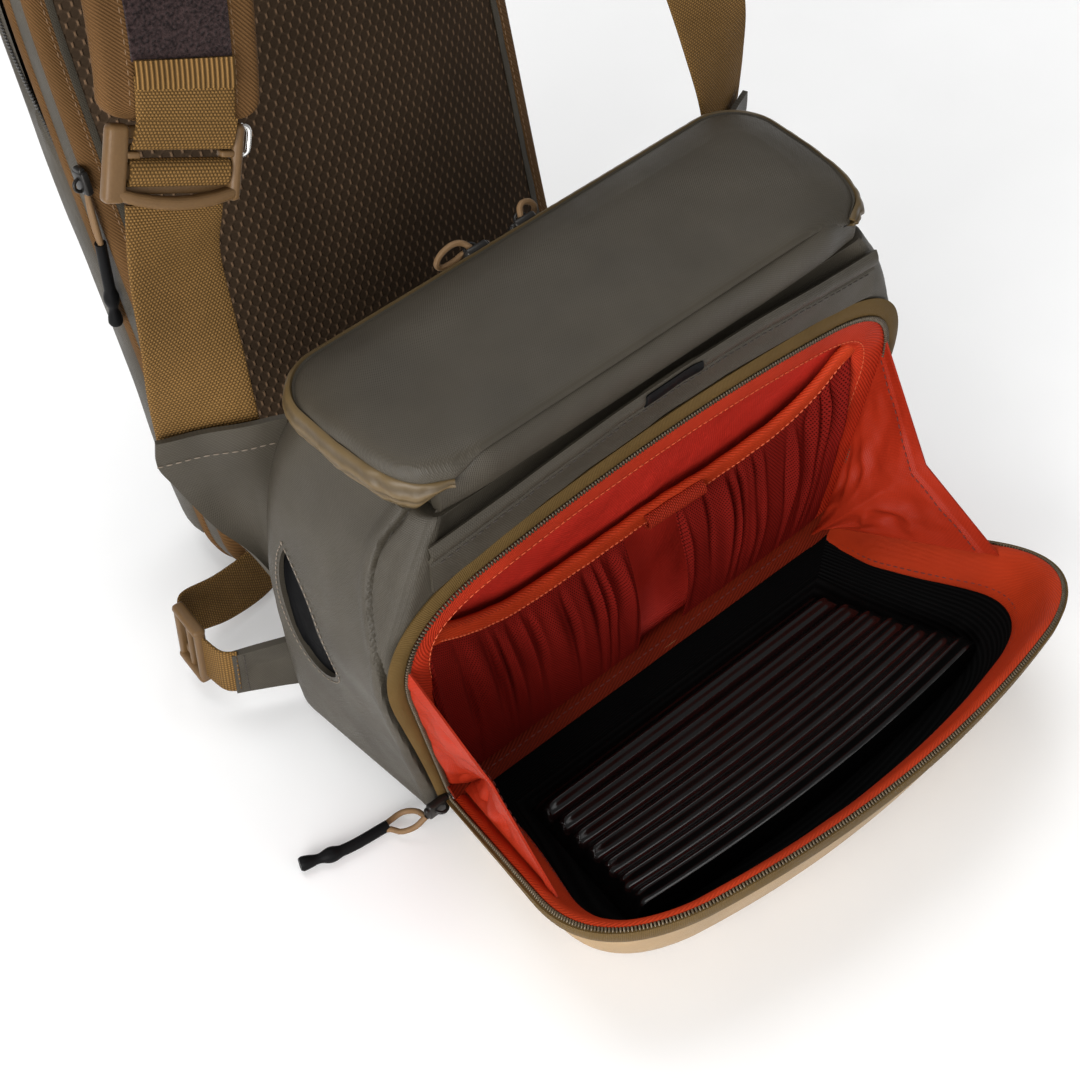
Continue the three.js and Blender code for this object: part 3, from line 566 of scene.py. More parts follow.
def stitch_unit(size):
    """A thread stitch: a slim pointed bead."""
    deselect()
    bpy.ops.mesh.primitive_uv_sphere_add(segments=6, ring_count=5, radius=0.5)
    unit = bpy.context.object
    unit.data.transform(Matrix.Rotation(math.radians(90), 4, "Y"))
    unit.data.transform(Matrix.Diagonal((*size, 1)))
    return unit


def stitches(name, line, facings, finish, pitch=None, size=(2.5, 0.6, 0.5), mirror=False):
    """A row of stitches along a line that lies on the cloth."""
    pitch = pitch or bpy.context.scene.chest_pack_sizes.stitch_pitch / MM
    if isinstance(facings, Vector):
        facings = [facings]
    places = places_along(line, facings, pitch)
    if mirror:
        flip = Matrix.Diagonal((-1, 1, 1, 1))
        places = [flip @ place @ flip for place in places]
    return dress(repeat(name, stitch_unit(size), places), finish)


def tooth_unit():
    """One turn of the zip's coil: a block with its edges rounded off."""
    deselect()
    bpy.ops.mesh.primitive_cube_add(size=1)
    bpy.ops.object.mode_set(mode="EDIT")
    bpy.ops.transform.resize(value=(0.95, 2.3, 1.3))
    bpy.ops.mesh.bevel(offset=0.28, segments=1, affect="EDGES")
    bpy.ops.object.mode_set(mode="OBJECT")
    return bpy.context.object


def zip_teeth(name, line, facings, finish):
    pitch = bpy.context.scene.chest_pack_sizes.tooth_pitch / MM
    return dress(repeat(name, tooth_unit(), places_along(line, facings, pitch)), finish)


def block(size, place, round_by, segments=3):
    """A block with rounded edges, in millimetres, at a place."""
    deselect()
    bpy.ops.mesh.primitive_cube_add(size=1)
    bpy.ops.object.mode_set(mode="EDIT")
    bpy.ops.transform.resize(value=size)
    bpy.ops.mesh.bevel(offset=round_by, segments=segments, affect="EDGES")
    bpy.ops.object.mode_set(mode="OBJECT")
    piece = bpy.context.object
    piece.data.transform(place)
    return piece


def join(name, pieces):
    """Joins blocks in millimetres into one piece in metres."""
    deselect()
    for piece in pieces:
        piece.select_set(True)
    bpy.context.view_layer.objects.active = pieces[0]
    bpy.ops.object.join()
    whole = bpy.context.object
    whole.name = whole.data.name = name
    whole.data.transform(Matrix.Diagonal((MM, MM, MM, 1)))
    return whole


def seat_piece(piece, basis, mirror):
    """Moves a piece made round the origin to its own frame, whose place is in millimetres."""
    to_metres, to_millimetres = (Matrix.Diagonal((s, s, s, 1)) for s in (MM, 1 / MM))
    piece.data.transform(to_metres @ basis @ to_millimetres)
    if mirror:
        piece.data.transform(Matrix.Diagonal((-1, 1, 1, 1)))
        piece.data.flip_normals()


def cut(piece, cutter):
    modify(piece, "BOOLEAN", operation="DIFFERENCE", solver="EXACT", object=cutter)
    bpy.data.objects.remove(cutter)
    return piece


# Finishes


class Finish:
    """A node material under construction, drawn on the piece's UV map or on Object coordinates in metres."""

    def __init__(self, name, roughness, metallic=0.0, sheen=0.0, specular=0.5):
        self.material = bpy.data.materials.new(name)
        self.material.use_nodes = True
        self.nodes = self.material.node_tree.nodes
        self.links = self.material.node_tree.links
        self.shader = self.nodes["Principled BSDF"]
        values = {
            "Roughness": roughness,
            "Metallic": metallic,
            "Sheen Weight": sheen,
            "Specular IOR Level": specular,
        }
        for socket, value in values.items():
            self.shader.inputs[socket].default_value = value

    def feed(self, value, socket):
        if isinstance(value, bpy.types.NodeSocket):
            self.links.new(value, socket)
        else:
            socket.default_value = value

    def add(self, kind, inputs, **settings):
        node = self.nodes.new(kind)
        for key, value in settings.items():
            setattr(node, key, value)
        for key, value in inputs.items():
            self.feed(value, node.inputs[key])
        return node

    def math(self, operation, a, b=0.0, c=0.0):
        return self.add("ShaderNodeMath", {0: a, 1: b, 2: c}, operation=operation).outputs[0]

    def uv(self):
        coordinates = self.add("ShaderNodeTexCoord", {})
        parts = self.add("ShaderNodeSeparateXYZ", {0: coordinates.outputs["UV"]})
        return parts.outputs[0], parts.outputs[1]

    def weave(self, across, along):
        """Height of a weave whose threads repeat at these pitches in metres, each row half a thread on."""
        u, v = self.uv()
        row = self.math("FLOOR", self.math("DIVIDE", v, along))
        slide = self.math("MULTIPLY", row, math.pi / 2)
        warp = self.math("ABSOLUTE", self.math("SINE", self.math("MULTIPLY_ADD", u, math.pi / across, slide)))
        weft = self.math("ABSOLUTE", self.math("SINE", self.math("MULTIPLY", v, math.pi / along)))
        return self.math("MULTIPLY", warp, weft)

    def ribs(self, pitch, turn=0.0):
        """Height of straight ribs at a pitch, turned from the piece's length."""
        u, v = self.uv()
        angle = math.radians(turn)
        slant = self.math("MULTIPLY", u, math.sin(angle) * 2 * math.pi / pitch)
        phase = self.math("MULTIPLY_ADD", v, math.cos(angle) * 2 * math.pi / pitch, slant)
        return self.math("MULTIPLY_ADD", self.math("SINE", phase), 0.5, 0.5)

    def cells(self, wide, tall, shift=(0.0, 0.0)):
        """Distance across and up from the middle of the nearest cell of a staggered grid, in metres."""
        u, v = self.uv()
        row = self.math("FLOOR", self.math("ADD", self.math("DIVIDE", v, tall), shift[1]))
        odd = self.math("MULTIPLY", self.math("MODULO", self.math("ABSOLUTE", row), 2.0), 0.5)
        column = self.math("ADD", self.math("ADD", self.math("DIVIDE", u, wide), odd), shift[0])
        x = self.math("MULTIPLY", self.math("SUBTRACT", self.math("FRACT", column), 0.5), wide)
        share = self.math("FRACT", self.math("ADD", self.math("DIVIDE", v, tall), shift[1]))
        y = self.math("MULTIPLY", self.math("SUBTRACT", share, 0.5), tall)
        return x, y

    def blotches(self, size, detail=3.0):
        """Cloudy unevenness from 0 to 1, about size metres across."""
        coordinates = self.add("ShaderNodeTexCoord", {})
        inputs = {"Vector": coordinates.outputs["Object"], "Scale": 1.0 / size, "Detail": detail}
        return self.add("ShaderNodeTexNoise", inputs).outputs["Fac"]

    def spread(self, value, low, high, to_low=0.0, to_high=1.0):
        inputs = {"Value": value, "From Min": low, "From Max": high, "To Min": to_low, "To Max": to_high}
        return self.add("ShaderNodeMapRange", inputs).outputs[0]

    def mix(self, share, low, high):
        node = self.add("ShaderNodeMix", {}, data_type="RGBA")
        self.feed(share, node.inputs[0])
        for socket, colour in ((node.inputs[6], low), (node.inputs[7], high)):
            self.feed(colour if isinstance(colour, bpy.types.NodeSocket) else (*colour, 1.0), socket)
        return node.outputs[2]

    def paint(self, colour, uneven=0.12, size=0.03):
        """Sets the base colour, made a little lighter and darker in soft patches."""
        value = self.spread(self.blotches(size), 0.3, 0.7, 1 - uneven, 1 + uneven)
        node = self.add("ShaderNodeHueSaturation", {"Value": value, "Color": colour})
        self.links.new(node.outputs[0], self.shader.inputs["Base Color"])

    def relief(self, *layers):
        """Raises the surface by heights, each with its depth in metres."""
        normal = None
        for height, depth in layers:
            inputs = {"Height": height, "Distance": depth, "Strength": 1.0}
            if normal is not None:
                inputs["Normal"] = normal
            normal = self.add("ShaderNodeBump", inputs).outputs[0]
        self.links.new(normal, self.shader.inputs["Normal"])

    def gloss(self, low, high, size=0.02):
        """Uneven roughness."""
        self.links.new(self.spread(self.blotches(size), 0.3, 0.7, low, high), self.shader.inputs["Roughness"])


def shade(colour, share):
    return tuple(min(c * share, 1.0) for c in colour)


def cloth(name, colour, across, along, depth, dark=0.6, roughness=0.6, sheen=0.1, folds=0.0, specular=0.4):
    """A woven cloth: darker between its threads, with soft unevenness."""
    f = Finish(name, roughness, sheen=sheen, specular=specular)
    threads = f.weave(across, along)
    f.paint(f.mix(threads, shade(colour, dark), shade(colour, 1.15)))
    layers = [(threads, depth)]
    if folds:
        layers.append((f.blotches(0.018, 2.0), folds))
    f.relief(*layers)
    f.gloss(roughness - 0.06, roughness + 0.08)


def ribbed(name, colour, pitch, turn, depth, dark=0.6, roughness=0.7, specular=0.1):
    """A tape with straight ribs, as twill and zip tape have."""
    f = Finish(name, roughness, specular=specular)
    ribs = f.ribs(pitch, turn)
    f.paint(f.mix(ribs, shade(colour, dark), shade(colour, 1.15)))
    f.relief((ribs, depth), (f.blotches(0.006, 2.0), 0.0003))
    f.gloss(roughness - 0.08, roughness + 0.08)


def plain(name, colour, roughness, grain, depth, metallic=0.0, specular=0.5):
    """A moulded or drawn finish with a fine grain."""
    f = Finish(name, roughness, metallic=metallic, specular=specular)
    speck = f.blotches(grain, 4.0)
    f.paint(f.mix(speck, shade(colour, 0.85), shade(colour, 1.1)), 0.06)
    f.relief((speck, depth))
    f.gloss(max(roughness - 0.07, 0.05), roughness + 0.07, 0.01)


class CHESTPACK_OT_finishes(bpy.types.Operator):
    """Makes the finishes of every piece"""

    bl_idname = "chest_pack.finishes"
    bl_label = "Finishes"

    def execute(self, context):
        # The numbers after the colour, in their order:
        # cloth: thread pitch across and along, depth, shade between threads, roughness, sheen, folds, specular
        # ribbed: pitch, turn, depth, shade between ribs, roughness, specular
        # plain: roughness, grain, depth, metallic
        tint = context.scene.chest_pack_colours
        cloth("Olive coated cloth", tint.olive, 0.0009, 0.0007, 0.00010, 0.85, 0.5, 0.0, 0.0005, 0.3)
        cloth("Shoulder webbing weave", tint.webbing, 0.0014, 0.0011, 0.0004, 0.35, 0.8, 0.0, specular=0.1)
        ribbed("Ribbed keeper webbing", tint.webbing, 0.0019, 90, 0.0006, 0.3, 0.75)
        ribbed("Twill binding", tint.binding, 0.0011, 35, 0.0002, 0.75, 0.8)
        ribbed("Coated zip tape", tint.zip_tape, 0.0007, 90, 0.0001, 0.85, 0.5, 0.03)
        ribbed("Lid zip tape", tint.lid_tape, 0.0052, 0, 0.0004, 0.7, 0.42, 0.34)
        # The hinge tape is the bound edges' orange darkened to about a third: painted shade for where the strip
        # lies in the hinge's shadow.
        ribbed("Orange hinge tape with painted shade", shade(tint.orange, 0.34), 0.0012, 25, 0.0002, 0.75, 0.7)
        plain("Zip coil", (0.082, 0.060, 0.036), 0.36, 0.0008, 0.00005, 0.4)
        plain("Brown zip coil", (0.10, 0.072, 0.040), 0.36, 0.0008, 0.00005, 0.4)
        plain("Black zip coil", (0.02, 0.018, 0.016), 0.35, 0.0008, 0.00005)
        cloth("Red lining cloth", tint.red, 0.0009, 0.0009, 0.0001, 0.85, 0.45, 0.0, 0.0012, 0.2)
        ribbed("Red twill facing", tint.facing, 0.0012, 40, 0.0002, 0.8, 0.6)
        gusset = shade(tint.facing, 0.78)
        cloth("Glossy red gusset cloth", gusset, 0.0008, 0.0008, 0.00006, 0.9, 0.42, 0.0, 0.002, 0.1)
        ribbed("Orange bound edge", tint.orange, 0.0009, 25, 0.00012, 0.82, 0.6)
        self.red_mesh(tint)
        cloth("Red loop webbing", shade(tint.facing, 0.85), 0.0013, 0.0009, 0.0003, 0.5, 0.7, 0.0, specular=0.1)
        cloth("Tan moulded cloth", tint.tan_shell, 0.0008, 0.0008, 0.0001, 0.85, 0.6, 0.1, 0.0005)
        ribbed("Black knit lining", (0.0035, 0.0035, 0.0035), 0.0036, 0, 0.0005, 0.45, 0.9, 0.05)
        plain("Black ridged foam", (0.0045, 0.0043, 0.0042), 0.17, 0.0006, 0.000005, specular=0.4)
        plain("Black soft rubber", (0.0045, 0.0045, 0.0048), 0.5, 0.001, 0.00006, specular=0.09)
        plain("Black matte rubber", (0.0040, 0.0040, 0.0043), 0.6, 0.001, 0.00006, specular=0.02)
        self.panel_mesh(tint)
        self.loop_patch()
        plain("Tan moulded buckle", tint.buckle, 0.45, 0.0012, 0.00006, specular=0.3)
        plain("Bright steel wire", (0.75, 0.74, 0.72), 0.18, 0.002, 0.00003, 1.0)
        plain("Dark slider metal", (0.022, 0.020, 0.018), 0.35, 0.001, 0.00004, 0.6)
        for name, colour in (
            ("Dark thread", (0.045, 0.036, 0.030)),
            ("Olive thread", (0.200, 0.160, 0.120)),
            ("Orange thread", (0.620, 0.100, 0.030)),
            ("Maroon thread", (0.130, 0.018, 0.012)),
            ("Brown thread", (0.170, 0.095, 0.042)),
            ("Pull cord", (0.180, 0.100, 0.040)),
        ):
            plain(name, colour, 0.7, 0.0008, 0.0001)
        return {"FINISHED"}

    def red_mesh(self, tint):
        """Knitted mesh: rows of small dark holes."""
        f = Finish("Red pocket mesh", 0.75, specular=0.05)
        x, y = f.cells(0.0012, 0.0009)
        away = f.math("SQRT", f.math("ADD", f.math("MULTIPLY", x, x), f.math("MULTIPLY", y, y)))
        thread = f.spread(away, 0.00015, 0.00034)
        f.paint(f.mix(thread, shade(tint.red_mesh, 0.25), tint.red_mesh), 0.1)
        f.relief((thread, 0.0003))

    def panel_mesh(self, tint):
        """Spacer mesh: dark six-sided cells with a paler upright thread between neighbours in a row."""
        f = Finish("Brown spacer mesh", 0.85, specular=0.08)
        wide, tall = 0.0044, 0.0038
        x, y = f.cells(wide, tall)
        away = f.math("SQRT", f.math("ADD", f.math("MULTIPLY", x, x), f.math("MULTIPLY", y, y)))
        wall = f.spread(away, 0.0013, 0.0021)
        tick_x, tick_y = f.cells(wide, tall, (0.5, 0.0))
        near = f.spread(f.math("ABSOLUTE", tick_x), 0.00035, 0.0007, 1.0, 0.0)
        short = f.spread(f.math("ABSOLUTE", tick_y), 0.0007, 0.0014, 1.0, 0.0)
        tick = f.math("MULTIPLY", near, short)
        ground = f.mix(wall, shade(tint.panel, 0.84), shade(tint.panel, 1.0))
        f.paint(f.mix(tick, ground, (0.150, 0.092, 0.053)), 0.1)
        f.relief((wall, 0.00022), (tick, 0.0005))

    def loop_patch(self):
        """Fuzzy loop tape."""
        f = Finish("Brown loop tape", 0.95, sheen=0.1, specular=0.05)
        fuzz = f.blotches(0.0012, 6.0)
        f.paint(f.mix(f.spread(fuzz, 0.35, 0.65), (0.010, 0.006, 0.006), (0.046, 0.028, 0.027)), 0.08)
        f.relief((fuzz, 0.0012))


# Stage and cords


class CHESTPACK_OT_stage(bpy.types.Operator):
    """Makes the pale floor, the soft lights and the camera"""

    bl_idname = "chest_pack.stage"
    bl_label = "Stage"

    def execute(self, context):
        deselect()
        bpy.ops.mesh.primitive_grid_add(x_subdivisions=24, y_subdivisions=24, size=12, location=(0, 0, 0))
        floor = context.object
        floor.name = "floor"
        floor.data.transform(Matrix.Translation((0, 0, -0.0006)))
        f = Finish("Pale floor", 0.9, specular=0.1)
        f.paint(f.mix(f.blotches(0.4), (0.88, 0.88, 0.88), (0.90, 0.90, 0.90)), 0.01)
        f.shader.inputs["Emission Color"].default_value = (1, 1, 1, 1)
        f.shader.inputs["Emission Strength"].default_value = 0.14
        floor.data.materials.append(f.material)
        world = context.scene.world or bpy.data.worlds.new("Studio")
        context.scene.world = world
        world.use_nodes = True
        world.node_tree.nodes["Background"].inputs[0].default_value = (1, 1, 1, 1)
        world.node_tree.nodes["Background"].inputs[1].default_value = 0.33
        lamps = [
            ("side_light", (-1.7, -0.7, 0.7), 1.3, 42),
            ("front_light", (-0.3, -1.8, 0.9), 1.2, 8),
            ("top_light", (0.3, 0.9, 2.2), 1.8, 30),
        ]
        for name, at, size, power in lamps:
            bpy.ops.object.light_add(type="AREA", location=at)
            lamp = context.object
            lamp.name = name
            lamp.data.size = size
            lamp.data.energy = power
            lamp.rotation_euler = (Vector((0, 0, 0.1)) - Vector(at)).to_track_quat("-Z", "Y").to_euler()
        eye, target = Vector((-0.4514, -0.4743, 0.8013)), Vector((-0.0259, -0.0050, 0.0713))
        bpy.ops.object.camera_add(location=eye)
        camera = context.object
        camera.rotation_euler = (target - eye).to_track_quat("-Z", "Y").to_euler()
        camera.data.sensor_fit = "AUTO"
        camera.data.angle = math.radians(25.02)
        camera.data.clip_start = 0.02
        context.scene.camera = camera
        context.scene.view_settings.view_transform = "Standard"
        return {"FINISHED"}


class CHESTPACK_OT_zip_pulls(bpy.types.Operator):
    """Makes the cords and rubber sleeves of the tray's and the bag's zip pulls"""

    bl_idname = "chest_pack.zip_pulls"
    bl_label = "Zip pulls"

    def execute(self, context):
        self.pull("tray", TRAY_CORD, TRAY_TUBE, Vector((4.4, 4.6, 0.0)), context)
        self.pull("bag", BAG_CORD, BAG_TUBE, Vector((0.5, 2.0, 0.0)), context)
        return {"FINISHED"}

    def pull(self, name, cord_points, tube_points, aside, context):
        diameter = context.scene.chest_pack_sizes.cord_diameter
        sleeve = self.sleeve(name, tube_points)
        start, middle, tip = (Vector(p) for p in tube_points)
        inside = [start.lerp(middle, 0.35), start.lerp(middle, 0.8), middle.lerp(tip, 0.5)]
        whole = [Vector(p) for p in cord_points] + inside
        for strand, sway in (("near", 1), ("far", -1)):
            swayed = []
            for i, p in enumerate(whole):
                swayed.append(p + aside * (sway * math.sin(math.pi * min(i / 3.5, 1.0))) * 0.75)
            path = resample(smooth_line(swayed, 60), 24)
            self.cord(f"{name}_pull_cord_{strand}", path, diameter, sleeve if sway > 0 else None, name)
        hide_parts(f"{name}_pull_tube")

    def cord(self, name, path, diameter, sleeve, zip_name):
        curve = bpy.data.curves.new(name, "CURVE")
        curve.dimensions = "3D"
        curve.bevel_depth = diameter / 2
        curve.bevel_resolution = 3
        curve.use_fill_caps = True
        line = curve.splines.new("POLY")
        line.points.add(len(path) - 1)
        for point, at in zip(line.points, path):
            point.co = (*(at * MM), 1.0)
        piece = bpy.data.objects.new(name, curve)
        bpy.context.scene.collection.objects.link(piece)
        curve.materials.append(bpy.data.materials["Pull cord"])
        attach(piece, "root")
        if sleeve:
            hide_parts(f"{zip_name}_pull_cord")

    def sleeve(self, name, points):
        """A rubber sleeve with a knot's bulge near its end and a flared tip."""

        def radius(t):
            knot = 2.35 + 0.9 * hump(t, 0.66, 0.12) - 0.3 * hump(t, 0.8, 0.08)
            return knot + 0.7 * ease(0.82, 0.97, t) - 0.5 * ease(0.97, 1, t)

        sleeve = tube(f"{name}_pull_sleeve", points, radius, 40, 14)
        return dress(sleeve, "Black soft rubber")


# Body


class CHESTPACK_OT_body(bpy.types.Operator):
    """Makes the pack's body with its window, side slot and seams"""

    bl_idname = "chest_pack.body"
    bl_label = "Body"

    def execute(self, context):
        body = thicken(self.tub(), 2.2, -1.0)
        cut(body, self.window())
        cut(body, self.lens())
        dress(body, "Olive coated cloth", ["body_shell"], 40)
        self.patch()
        return {"FINISHED"}

    def ring(self, z):
        """The body's outline at a height and its outward directions, from the back's middle round the left."""
        front, back, y_front, y_back = track(BODY, z)
        half = []
        for i in range(24):
            half.append((lerp(0, BACK_ROUND - back, i / 24), y_back, 0, 1))
        for i in range(12):
            turn = math.radians(90 + 90 * i / 12)
            nx, ny = math.cos(turn), math.sin(turn)
            half.append((BACK_ROUND - back + BACK_ROUND * nx, y_back - BACK_ROUND + BACK_ROUND * ny, nx, ny))
        for i in range(88):
            t = 1 - (1 - i / 88) ** 1.6
            half.append((lerp(-back, -front, t), lerp(y_back - BACK_ROUND, y_front + FRONT_ROUND, t), -1, 0))
        for i in range(16):
            turn = math.radians(180 + 90 * i / 16)
            nx, ny = math.cos(turn), math.sin(turn)
            x, y = FRONT_ROUND - front + FRONT_ROUND * nx, y_front + FRONT_ROUND + FRONT_ROUND * ny
            half.append((x, y, nx, ny))
        for i in range(46):
            half.append((lerp(FRONT_ROUND - front, 0, i / 45), y_front, 0, -1))
        return half + [(-x, y, -nx, ny) for x, y, nx, ny in reversed(half[:-1])]

    def seam_y(self, z):
        """Where the seam between the front and the side panel runs."""
        return lerp(-40.5, -26, ease(104, 150, z)) - 5 * ease(156, 178, z)

    def tub(self):
        heights = [0, 1.2, 3, 6] + [lerp(9, 175, i / 74) for i in range(75)]
        floors = [0.0, 0.45, 0.9]
        folds = [(0.8, 175.6), (2.5, 175.4), (6, 174.6), (11, 173.6)]
        rings = [self.ring(z) for z in heights]
        columns = len(rings[0]) - 1
        walls = len(floors) + len(heights)
        rows = walls + len(folds) - 1

        def place(u, v):
            row = round(v * rows)
            spot = round(u * columns)
            if row < len(floors):
                x, y, _, _ = rings[0][spot]
                return Vector((x * floors[row], 3 + (y - 3) * floors[row], 0))
            if row >= walls:
                inset, z = folds[row - walls]
                x, y, nx, ny = rings[-1][spot]
                return Vector((x - nx * inset, y - ny * inset, z))
            z = heights[row - len(floors)]
            x, y, nx, ny = rings[row - len(floors)][spot]
            off = y - self.seam_y(z)
            out = 0.0
            if abs(nx) > 0.05 and y < 20:
                out = -2.8 * hump(off, 0, 1.3) + 0.9 * hump(off, 3.2, 4.5) + 0.4 * hump(off, -3.5, 4)
                out += 0.55 * crease((x, y, z * 2.4), 9) * hump(off, -4, 12)
            if ny < -0.9:
                out -= 3.6 * ease(163, 169, z) * ease(110, 98, abs(x))
            soft = ease(4, 30, z)
            wrinkle = 0.9 * crease((x, y, z), 42) + 0.35 * crease((x, y, z), 16, 3)
            out += soft * wrinkle * (0.25 if ny < -0.9 else 1.0)
            return Vector((x + nx * out, y + ny * out, z))

        return sheet("pack_body", columns, rows, place, closed=True)

    def window(self):
        outline = zip_line(ARCH_BODY, -3.5, 120)
        rim = outline + [outline[-1].lerp(outline[0], i / 30) for i in range(1, 30)]
        ahead, behind = 20, 4.5
        return laid("window_cutter", [[on_front(p, a) for p in rim] for a in (ahead, -behind)], True, True)

    def slot_edge(self, margin=0.0, steps=70):
        """The slot's outline, pushed out by a margin, as points of depth and height."""
        middle = Vector((12.5, 86))
        line = resample(smooth_line([(*p, 0) for p in SLOT + SLOT[:1]], 140), steps)
        away = [Vector(p[:2]) - middle for p in line[:-1]]
        return [middle + p * (1 + margin / p.length) for p in away]

    def lens(self):
        outside, inside = -150, -96
        edge = self.slot_edge()
        return laid("slot_cutter", [[Vector((x, *p)) for p in edge] for x in (outside, inside)], True, True)

    def patch(self):
        """Rubbery cloth behind the slot, tucked deeper near its top, and the stitches round the slot."""

        def place(u, v):
            y, z = lerp(-9, 32, u), lerp(51, 125, v)
            above = (z - 98 - 1.15 * (y - 3)) * 0.65
            beside = y - lerp(20, 26, (z - 60) / 40)
            depth = 3.1 + 8 * ease(0.5, 4, above) - 0.9 * hump(above, -2.5, 4) - 0.7 * ease(-0.6, 0.6, beside)
            depth += 0.5 * crease((0, y, z), 14)
            return Vector((-side_x(min(y, 30), z, depth), y, z))

        patch = thicken(sheet("slot_patch_cloth", 44, 80, place), 1.0)
        dress(patch, "Black matte rubber", ["slot_patch"])
        line = []
        edge = self.slot_edge(2.6)
        for p in edge + edge[:1]:
            x = side_x(p.x, p.y, -0.3)
            line.append(Vector((-x - 0.9 * crease((-x, p.x, p.y), 42), p.x, p.y)))
        stitches("slot_stitches", line, Vector((-1, 0, 0)), "Olive thread", 3.0, (2.2, 0.5, 0.5))


# Lid


class CHESTPACK_OT_lid(bpy.types.Operator):
    """Makes the padded lid, the tape that closes it, and its two sliders with cord loops"""

    bl_idname = "chest_pack.lid"
    bl_label = "Lid"

    def execute(self, context):
        self.pad()
        self.tape()
        for name, x, turn in (("left", -16, 1), ("right", 8, -1)):
            place = Matrix.Translation((x, 42.2, 187)) @ Matrix.Rotation(math.radians(-65), 4, "X")
            place = place @ Matrix.Diagonal((turn, 1, 1, 1))
            zip_slider(f"lid_zip_slider_{name}", place, [f"lid_slider_{name}"])
            loop = [(x + turn * a * (1 if turn > 0 else 0.7), b, c) for a, b, c in LID_LOOP]
            piece = tube(f"lid_cord_loop_{name}", loop, 1.2, 40, 8)
            dress(piece, "Pull cord", [f"lid_pull_{name}"])
        return {"FINISHED"}

    def outline(self, count):
        """Right half of the lid from its front tip round to the back, then mirrored, as an open line."""
        right = smooth_line([(98.5, -42), (110, -34.5), (116, -20), (118, -2)], 24)
        for i in range(1, 19):
            turn = math.radians(90 * i / 18)
            right.append(Vector((96 + 22 * math.cos(turn), 17 + 22 * math.sin(turn))))
        right = [Vector((p[0], p[1])) for p in right]
        return resample(right + [Vector((-p.x, p.y)) for p in reversed(right)], count)

    def pad(self):
        around = self.outline(190)
        front = [around[-1].lerp(around[0], i / 60) for i in range(1, 60)]
        loop = around + front
        count = len(loop)
        profile = [
            (40, 199.4), (34, 199.4), (26, 199.3), (18, 199.1), (12, 198.9), (8, 198.6),
            (5, 198.1), (3, 197.3), (1.6, 196.2), (0.6, 194.8), (0, 193.2), (-0.3, 191.8),
            (0.1, 190.4), (1.0, 189.5), (2.2, 189.1), (8, 189), (40, 189),
        ]
        rows = len(profile) - 1

        def place(u, v):
            p = loop[round(u * count) % count]
            inset, z = profile[round(v * rows)]
            spine = Vector((min(max(p.x, -78), 78), -1.5))
            away = p - spine
            low = max(ease(-5, 30, p.y), ease(70, 112, p.x))
            behind = max(ease(-30, -5, p.y), ease(70, 112, p.x))
            at = spine + away * max(1 - (inset + behind) / 40, 0.0)
            flat = ease(2, 14, inset) if z > 195 else 0
            thin = 0.58 * ease(-25, -40, p.y) * ease(99, 84, abs(p.x))
            thin *= 1 - ease(8, 40, inset) if z < 195 else 1
            z += (199.4 - z) * thin
            z -= 5.5 * low * (1 - ease(0, 22, inset)) if z > 191 else 0
            z += flat * (0.45 * crease((at.x, at.y, 0), 70) + 0.12 * crease((at.x, at.y, 0), 18, 5))
            return Vector((at.x, at.y, z))

        lid = sheet("lid_pad", count, rows, place, closed=True)
        layer = lid.data.uv_layers.active.data
        for corner in lid.data.loops:
            at = lid.data.vertices[corner.vertex_index].co
            layer[corner.index].uv = (at.x, at.y - at.z)
        dress(lid, "Olive coated cloth", ["lid_panel"], 60)

    def tape(self):
        """The tape has a ridge along its middle, where the coil lies inside, and is gathered at its ends."""
        around = self.outline(420)
        count = len(around) - 1
        rows = 16

        def place(u, v):
            i = round(u * count)
            p = around[i]
            along = (around[min(i + 1, count)] - around[max(i - 1, 0)]).normalized()
            inward = Vector((-along.y, along.x))
            reach = u * 470
            ends = 1 - ease(0.0, 0.26, min(u, 1 - u))
            bow = math.sin(math.pi * v**0.8) ** 0.7
            inset = lerp(0.9, 3.4, v) - 3.4 * bow - 0.6 * hump(v, 0.42, 0.08) - 0.5 * hump(v, 0.72, 0.07)
            gather = 1.1 * crease((reach, v * 14, 0), 6) * ends + 0.25 * crease((reach, v * 9, 5), 2.5)
            inset -= gather * bow
            closing = 1 - ease(0.004, 0.04, min(u, 1 - u))
            waver = 1.3 * ends * crease((reach, 0, 3), 14) + 0.5 * crease((reach, 0, 8), 4)
            z = lerp(190.4, lerp(175.2, 186.5, closing), v) - waver * v
            at = p + inward * inset
            return Vector((at.x, at.y, z))

        tape = thicken(sheet("lid_tape", count, rows, place), 1.0)
        dress(tape, "Lid zip tape", ["lid_zip_tape"], 70)


def zip_slider(name, place, nodes):
    """A slider: a waisted body with a ring standing over it for its bridge."""
    body = block((10, 8, 3.2), place, 1.1)
    nose = block((4, 5.4, 2.6), place @ Matrix.Translation((4.4, 0, 0)), 0.9)
    deselect()
    bpy.ops.mesh.primitive_torus_add(major_segments=24, minor_segments=8, major_radius=2.6, minor_radius=0.75)
    bridge = bpy.context.object
    upright = Matrix.Rotation(math.radians(90), 4, "X")
    bridge.data.transform(place @ Matrix.Translation((-0.6, 0, 1.4)) @ upright)
    piece = join(name, [body, nose, bridge])
    return dress(piece, "Dark slider metal", nodes, 50)


# Front


